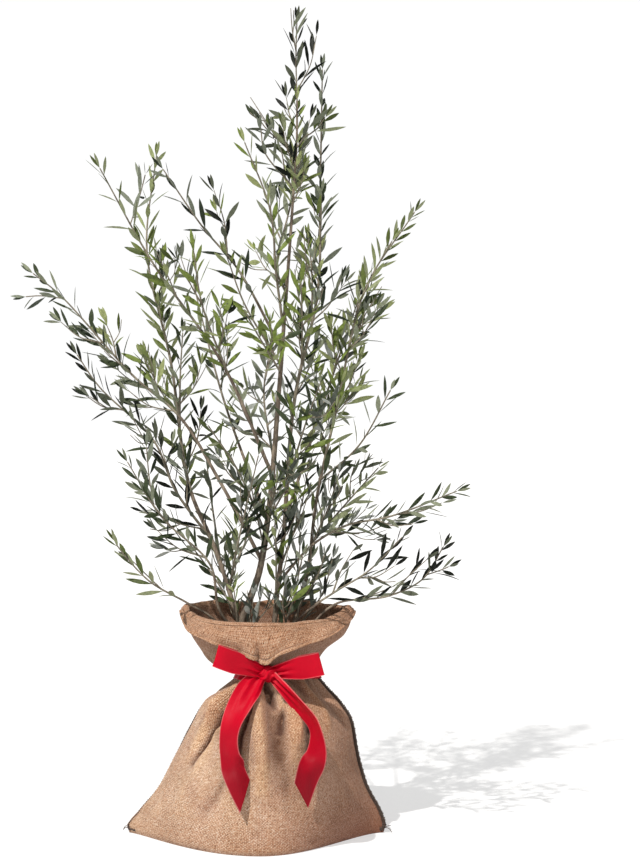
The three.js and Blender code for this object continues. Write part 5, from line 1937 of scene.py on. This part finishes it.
@dataclass(frozen=True)
class LeafShape:
    """The outline of an olive leaf, shared by them all: lance-shaped, widest before its middle."""

    stations: Row = (0.09, 0.26, 0.48, 0.71, 0.88)
    widths: Row = (0.1, 0.6, 1.0, 0.86, 0.46)
    keel: float = 0.16
    thick: float = 0.035

    def surface(self, leaves: Sequence[Leaf]) -> Surface:
        """Makes the leaves as closed blades of forty faces each.

        A blade has a rib on each side and two margins at each station, on an arc that bends back by the
        square of the way along. The margins and the lower rib stand a little below the upper rib.

        Args:
            leaves: The leaves.

        Returns:
            The joined blades, whose faces are counted 0 on the upper side and 1 on the underside.
        """
        along = np.repeat(self.stations, 4)
        half = np.repeat(self.widths, 4) / 2
        count = len(self.stations)
        x = half * np.tile([-1.0, 0.0, 1.0, 0.0], count)
        z = half * np.tile([-self.keel, self.keel, -self.keel, 0.0], count)
        z = z - np.tile([0.0, 0.0, 0.0, self.thick * 2], count) * np.minimum(1, half * 4)
        x, y, z = (np.concatenate([[0.0], values, [0.0]]) for values in (x, along, z))
        y[-1] = 1.0
        root, ahead, facing, length, width, bend = map(np.array, zip(*leaves))
        across = np.cross(ahead, facing)
        drop = bend[:, None] * length[:, None] * y**2
        places = (
            root[:, None]
            + across[:, None] * (x * width[:, None])[..., None]
            + ahead[:, None] * (y * length[:, None])[..., None]
            + facing[:, None] * (z * width[:, None] - drop)[..., None]
        )
        faces, finish = self.faces()
        joined = (faces[None] + len(x) * np.arange(len(leaves))[:, None, None]).reshape(-1, 3)
        return Surface(places.reshape(-1, 3), joined, None, np.tile(finish, len(leaves)))

    def faces(self) -> tuple[Array, Array]:
        """Lays one blade's triangles.

        Returns:
            The triangles, and for each the side that it is on.
        """
        made, finish = [], []
        count = len(self.stations)
        last = 1 + 4 * count
        for side, corners in ((0, ((0, 1), (1, 2))), (1, ((2, 3), (3, 0)))):
            for a, b in corners:
                made.append((0, 1 + b, 1 + a))
                for k in range(count - 1):
                    low, high = 1 + 4 * k, 5 + 4 * k
                    made += [(low + a, low + b, high + b), (low + a, high + b, high + a)]
                made.append((last, last - 4 + a, last - 4 + b))
                finish += [side] * (2 * count)
        return np.array(made)[:, ::-1], np.array(finish)


@dataclass
class Crown:
    """The crown: leafy stems, side twigs, finer twigs and leaves in opposite pairs, by one seeded rule.

    The trunk's leader is dressed last, with twigs that stand closer.
    """

    limbs: dict[str, Limb]
    twig_step: Row = (38.0, 62.0)
    twig_length: float = 114.0
    twig_spread: float = 35.0
    twig_last: float = 0.76
    twig_radius: float = 1.0
    twiglet_step: float = 40.0
    twiglet_length: float = 44.0
    twiglet_spread: float = 42.0
    shoot_follows: float = 0.45
    shoot_rises: float = 0.15
    node_step: float = 18.0
    leaf_length: float = 41.0
    leaf_width: float = 7.5
    leaf_spread: float = 37.0
    leaf_twist: float = 92.0
    end_spread: float = 13.0
    lowest: float = 348.0
    mouth_floor: float = 312.0
    mouth: Row = (8.0, 0.0, 98.0, 54.0)
    leader_from: float = 925.0
    leader_step: float = 28.0
    leader_last: float = 0.97
    high_tones: tuple[LeafTone, ...] = tuple(LeafTone)[:6]
    low_tones: tuple[LeafTone, ...] = (*tuple(LeafTone)[:3], LeafTone.GREY, LeafTone.SAGE, LeafTone.SAGE)
    tone_middle: float = 0.63
    tone_range: float = 0.86
    # Painted shade on the crown's edge and low side tips, and a little painted light on high sprays.
    outer_painted_shade: float = 0.49
    upward_painted_light: float = 0.02
    low_tip_painted_shade: float = 0.42
    golden_turn: float = 137.5
    seed_step: int = 7919
    twigs: list[Surface] = field(default_factory=list)
    leaves: dict[LeafTone, list[Leaf]] = field(default_factory=lambda: {tone: [] for tone in LeafTone})

    def tone_for(self, place: Array, numbers: SeededNumbers) -> LeafTone:
        """Deals a spray its tone: mostly by chance, painted shade at the crown's edge, and greyer low down.

        Low shoots standing out at each side get the most painted shade, high sprays a little painted light.

        Args:
            place: The spray's place.
            numbers: The mass's row of numbers.

        Returns:
            The tone.
        """
        high = (place[2] - 640) / 520
        outer = math.hypot((place[0] - 40) / 330, high)
        chance = self.tone_middle + self.tone_range * (numbers() - 0.5)
        # Painted shade at the crown's edge, a little painted light high up, more painted shade on low side
        # tips.
        light = chance - self.outer_painted_shade * max(0.0, outer - 0.15) + self.upward_painted_light * high
        low_tip = float(ease(110, 190, abs(place[0])) * ease(650, 570, place[2]))
        light -= self.low_tip_painted_shade * low_tip
        low = numbers() < 0.8 * ease(760, 440, place[2])
        tones = self.low_tones if low else self.high_tones
        return tones[int(np.clip(light * 1.25 * len(tones), 0, len(tones) - 1))]

    def clears(self, place: Array) -> bool:
        """Says whether a place is clear of the collar: above it, or well inside the sack's mouth.

        Args:
            place: The place.

        Returns:
            Whether it is.
        """
        x, y, across, deep = self.mouth
        inside = ((place[0] - x) / across) ** 2 + ((place[1] - y) / deep) ** 2 < 1
        return place[2] > (self.mouth_floor if inside else self.lowest)

    def add_leaf(self, limb: Limb, tone: LeafTone, leaf: Leaf) -> None:
        """Keeps a leaf unless it would leave its mass's space or touch the collar.

        Args:
            limb: The limb whose space it keeps to.
            tone: Its spray's tone.
            leaf: The leaf.
        """
        end = leaf.root + leaf.ahead * leaf.length
        if self.clears(end) and self.clears(leaf.root) and limb.holds(end):
            self.leaves[tone].append(leaf)

    def dress(self, limb: Limb, way: Way, start: float, numbers: SeededNumbers) -> None:
        """Sets leaves along a shoot: opposite pairs, each a quarter turn on from the last, and an end pair.

        Args:
            limb: The limb whose space the leaves keep to.
            way: The shoot.
            start: The share of its length at which the leaves start.
            numbers: The mass's row of numbers.
        """
        tone = self.tone_for(way.at(0.7), numbers)
        size_share = float(np.clip(limb.reach / 46, 0.94, 1))
        step = self.node_step * mix(1.4, 1, min(1.0, limb.full * 1.5))
        first = step * 0.5
        pairs = max(1, int((way.length * (1 - start) - first) / step) + 1)
        quarter = numbers() * math.pi
        for pair in range(pairs):
            share = min(0.985, start + (first + pair * step) / way.length)
            root, axis = way.at(share), way.heading(share)
            turn = quarter + pair * (math.pi / 2) + numbers() * 0.7
            young = ease(0.72, 1.0, share)
            for side in (0.0, math.pi):
                spread = math.radians(self.leaf_spread * mix(0.7, 1.25, numbers()) * mix(1, 0.7, young))
                ahead = leaving(axis, turn + side, spread)
                length = self.leaf_length * mix(0.75, 1.2, numbers()) * mix(1, 0.72, young) * size_share
                facing = unit(axis - ahead * np.dot(axis, ahead))
                facing = around(ahead, facing, math.radians(self.leaf_twist * mix(-1, 1, numbers())))
                width = self.leaf_width * mix(0.8, 1.15, numbers()) * mix(1, 0.8, young) * size_share
                bend = mix(-0.04, 0.34, numbers())
                self.add_leaf(limb, tone, Leaf(root, ahead, facing, length, width, bend))
        self.end_leaves(limb, tone, way, size_share)

    def end_leaves(self, limb: Limb, tone: LeafTone, way: Way, size_share: float) -> None:
        """Sets the two small leaves that close a shoot's tip.

        Args:
            limb: The limb whose space they keep to.
            tone: The spray's tone.
            way: The shoot.
            size_share: Their share of a leaf's full size.
        """
        root, axis = way.at(1.0), way.heading(1.0)
        for turn in (0.4, 0.4 + math.pi):
            ahead = leaving(axis, turn, math.radians(self.end_spread))
            facing = unit(axis - ahead * np.dot(axis, ahead))
            length = limb.TIP_LEAF * 0.95 * size_share
            self.add_leaf(limb, tone, Leaf(root, ahead, facing, length, 5.0 * size_share, 0.05))

    def shoot(self, root: Array, ahead: Array, axis: Array, length: float) -> Way:
        """Lays a side shoot: straight out for half its length, then bending towards its parent's way and up.

        Args:
            root: Where it springs.
            ahead: The way it leaves.
            axis: Its parent's heading there.
            length: Its length.

        Returns:
            The shoot's way.
        """
        elbow = root + ahead * length * 0.5
        bent = unit(mix(mix(ahead, axis, self.shoot_follows), UP, self.shoot_rises))
        return Way([root, elbow, elbow + bent * length * 0.5])

    def grow_twigs(self, limb: Limb, start: float, last: float, step: float, numbers: SeededNumbers) -> None:
        """Grows side twigs along a limb's leafy part by golden turns, each with finer twigs and leaves.

        Args:
            limb: The limb.
            start: The share of its length at which they start.
            last: The share at which they end.
            step: The distance between them.
            numbers: The mass's row of numbers.
        """
        count = max(0, round(limb.way.length * (last - start) / step))
        for k in range(count):
            share = mix(start, last, (k + 0.5) / count)
            turn = math.radians(self.golden_turn * k + 40 * numbers() + 70 * limb.seed)
            length = self.twig_length * mix(1, 0.5, share) * mix(0.7, 1.15, numbers())
            root, axis = limb.way.at(share), limb.way.heading(share)
            way = self.shoot(root, leaving(axis, turn, math.radians(self.twig_spread)), axis, length)
            if not (limb.holds(way.at(1.0)) and self.clears(way.at(1.0)) and self.clears(way.at(0.5))):
                continue
            thick = min(self.twig_radius * 1.3, float(limb.radius_at(share)))
            self.add_twig(way, thick, 5)
            self.dress(limb, way, 0.12, numbers)
            self.grow_twiglets(limb, way, thick, numbers)

    def grow_twiglets(self, limb: Limb, twig: Way, thick: float, numbers: SeededNumbers) -> None:
        """Grows the finest twigs along a side twig's lower part, each with a few leaves.

        Args:
            limb: The limb whose space they keep to.
            twig: The side twig.
            thick: Its radius.
            numbers: The mass's row of numbers.
        """
        count = round(twig.length * 0.6 / self.twiglet_step)
        for k in range(count):
            share = mix(0.15, 0.7, (k + 0.5) / count)
            turn = math.radians(self.golden_turn * k + 360 * numbers())
            root, axis = twig.at(share), twig.heading(share)
            length = self.twiglet_length * mix(0.6, 1.2, numbers())
            way = self.shoot(root, leaving(axis, turn, math.radians(self.twiglet_spread)), axis, length)
            if limb.holds(way.at(1.0)) and self.clears(way.at(1.0)):
                self.add_twig(way, thick * 0.65, 4)
                self.dress(limb, way, 0.2, numbers)

    def add_twig(self, way: Way, thick: float, sides: int) -> None:
        """Adds a twig's tube: an even taper, with a swelling at each pair of leaves.

        Args:
            way: The twig's way.
            thick: Its radius at its foot.
            sides: Points in a ring.
        """
        rings = max(5, round(way.length / 4.5))
        shares = np.linspace(0, 1, rings)
        swelling = 1 + 0.22 * np.cos((shares * way.length / self.node_step - 0.5) * FULL_TURN) ** 8
        self.twigs.append(tube(way, shares, mix(thick, self.twig_radius * 0.55, shares) * swelling, sides))

    def grow(self) -> None:
        """Grows every mass in the table's order, and then the trunk's leader."""
        leafy = [limb for limb in self.limbs.values() if limb.name != "trunk"]
        for mass in (limb for limb in leafy if not limb.in_parent_mass):
            numbers = SeededNumbers(mass.seed * self.seed_step)
            for limb in (each for each in leafy if each.mass is mass):
                rings = max(6, round(limb.way.length * (1 - limb.leafy_from) / 5))
                shares = np.linspace(limb.leafy_from, 1, rings)
                self.twigs.append(tube(limb.way, shares, limb.radius_at(shares), 8))
                step = mix(*self.twig_step, ease(480, 820, limb.way.at(0.5)[2])) / limb.full
                self.grow_twigs(limb, limb.leafy_from, self.twig_last, step, numbers)
                self.dress(limb, limb.way, limb.leafy_from, numbers)
        trunk = self.limbs["trunk"]
        numbers = SeededNumbers(len(self.limbs) * self.seed_step)
        start = trunk.way.at_height(self.leader_from)
        self.grow_twigs(trunk, start, self.leader_last, self.leader_step, numbers)
        self.dress(trunk, trunk.way, start, numbers)

    def make(self) -> None:
        """Makes the twigs and each tone's leaves and hands them to the frame."""
        self.grow()
        masses = [node for node in frame["nodes"] if node.startswith("foliage_")]
        bark = Bark("twig_bark", 0x9C9482, 0x756D5E, 0x494338).material()
        settle(Surface.joined(self.twigs).made("crown_twigs", [bark]), masses)
        for tone, leaves in self.leaves.items():
            finish = tone.value
            piece = LeafShape().surface(leaves).made(f"leaves_{finish.name}", finish.materials(), 75)
            settle(piece, masses)
        LOG.info("leaves: %d", sum(len(leaves) for leaves in self.leaves.values()))


@dataclass(frozen=True)
class Studio:
    """The pale floor, a sun from the front left with a soft fill, the sky and the photograph's camera."""

    camera_place: Place = (0.086, -3.0, 0.820)
    camera_tilt: float = 4.15
    lens: float = 85.0
    sun_strength: float = 3.9
    sun_height: float = 53.0
    sun_side: float = 35.0
    fill_strength: float = 0.75
    fill_height: float = 20.0
    sky: float = 0.345
    backdrop: float = 1.02
    floor_tone: float = 0.45
    floor_glow: float = 0.54

    def make(self) -> None:
        """Makes the floor, the lights, the sky and the camera."""
        mesh = bpy.data.meshes.new("floor")
        mesh.from_pydata([(-9, -9, 0), (9, -9, 0), (9, 9, 0), (-9, 9, 0)], [], [(0, 1, 2, 3)])
        tone = (*[self.floor_tone] * 3, 1)
        glow = {"Emission_Color": (1, 1, 1, 1), "Emission_Strength": self.floor_glow}
        mesh.materials.append(Sketch("floor_paint").finished(tone, 0.9, Specular_IOR_Level=0.1, **glow))
        placed("floor", mesh)
        world = bpy.data.worlds.new("studio")
        world.use_nodes = True
        tree = world.node_tree
        strength = tree.nodes.new("ShaderNodeMapRange")
        strength.inputs[3].default_value = self.sky
        strength.inputs[4].default_value = self.backdrop
        tree.links.new(tree.nodes.new("ShaderNodeLightPath").outputs["Is Camera Ray"], strength.inputs[0])
        tree.nodes["Background"].inputs[0].default_value = (1, 1, 1, 1)
        tree.links.new(strength.outputs[0], tree.nodes["Background"].inputs[1])
        scene = bpy.context.scene
        scene.world = world
        self.lamp("key", self.sun_strength, 0.9, self.sun_height, self.sun_side)
        self.lamp("fill", self.fill_strength, 50.0, self.fill_height, -10.0)
        lens = bpy.data.cameras.new("camera")
        lens.lens = self.lens
        lens.sensor_width = 36
        camera = placed("camera", lens)
        camera.location = self.camera_place
        camera.rotation_euler = (math.radians(90 - self.camera_tilt), 0, 0)
        scene.camera = camera
        scene.view_settings.view_transform = "Standard"

    def lamp(self, name: str, strength: float, spread: float, height: float, side: float) -> None:
        """Makes a lamp as far off as the sun.

        Args:
            name: Its name.
            strength: Its strength.
            spread: How wide it looks, in degrees, which softens its shadows.
            height: Its height over the floor, in degrees.
            side: How far it stands to the left of the front, in degrees.
        """
        light = bpy.data.lights.new(name, "SUN")
        light.energy = strength
        light.angle = math.radians(spread)
        light.color = (1.0, 0.975, 0.94)
        placed(name, light).rotation_euler = (math.radians(90 - height), 0, -math.radians(side))


def main() -> None:
    """Builds the studio, the pot, the sack, the bow, the wood and the crown."""
    logging.basicConfig(level=logging.INFO, format="%(message)s")
    Studio().make()
    Pot().make()
    sack = Sack()
    sack.make()
    Bow(sack).make()
    limbs = laid_limbs()
    Skeleton(limbs).make()
    Crown(limbs).make()


if __name__ == "__main__":
    main()
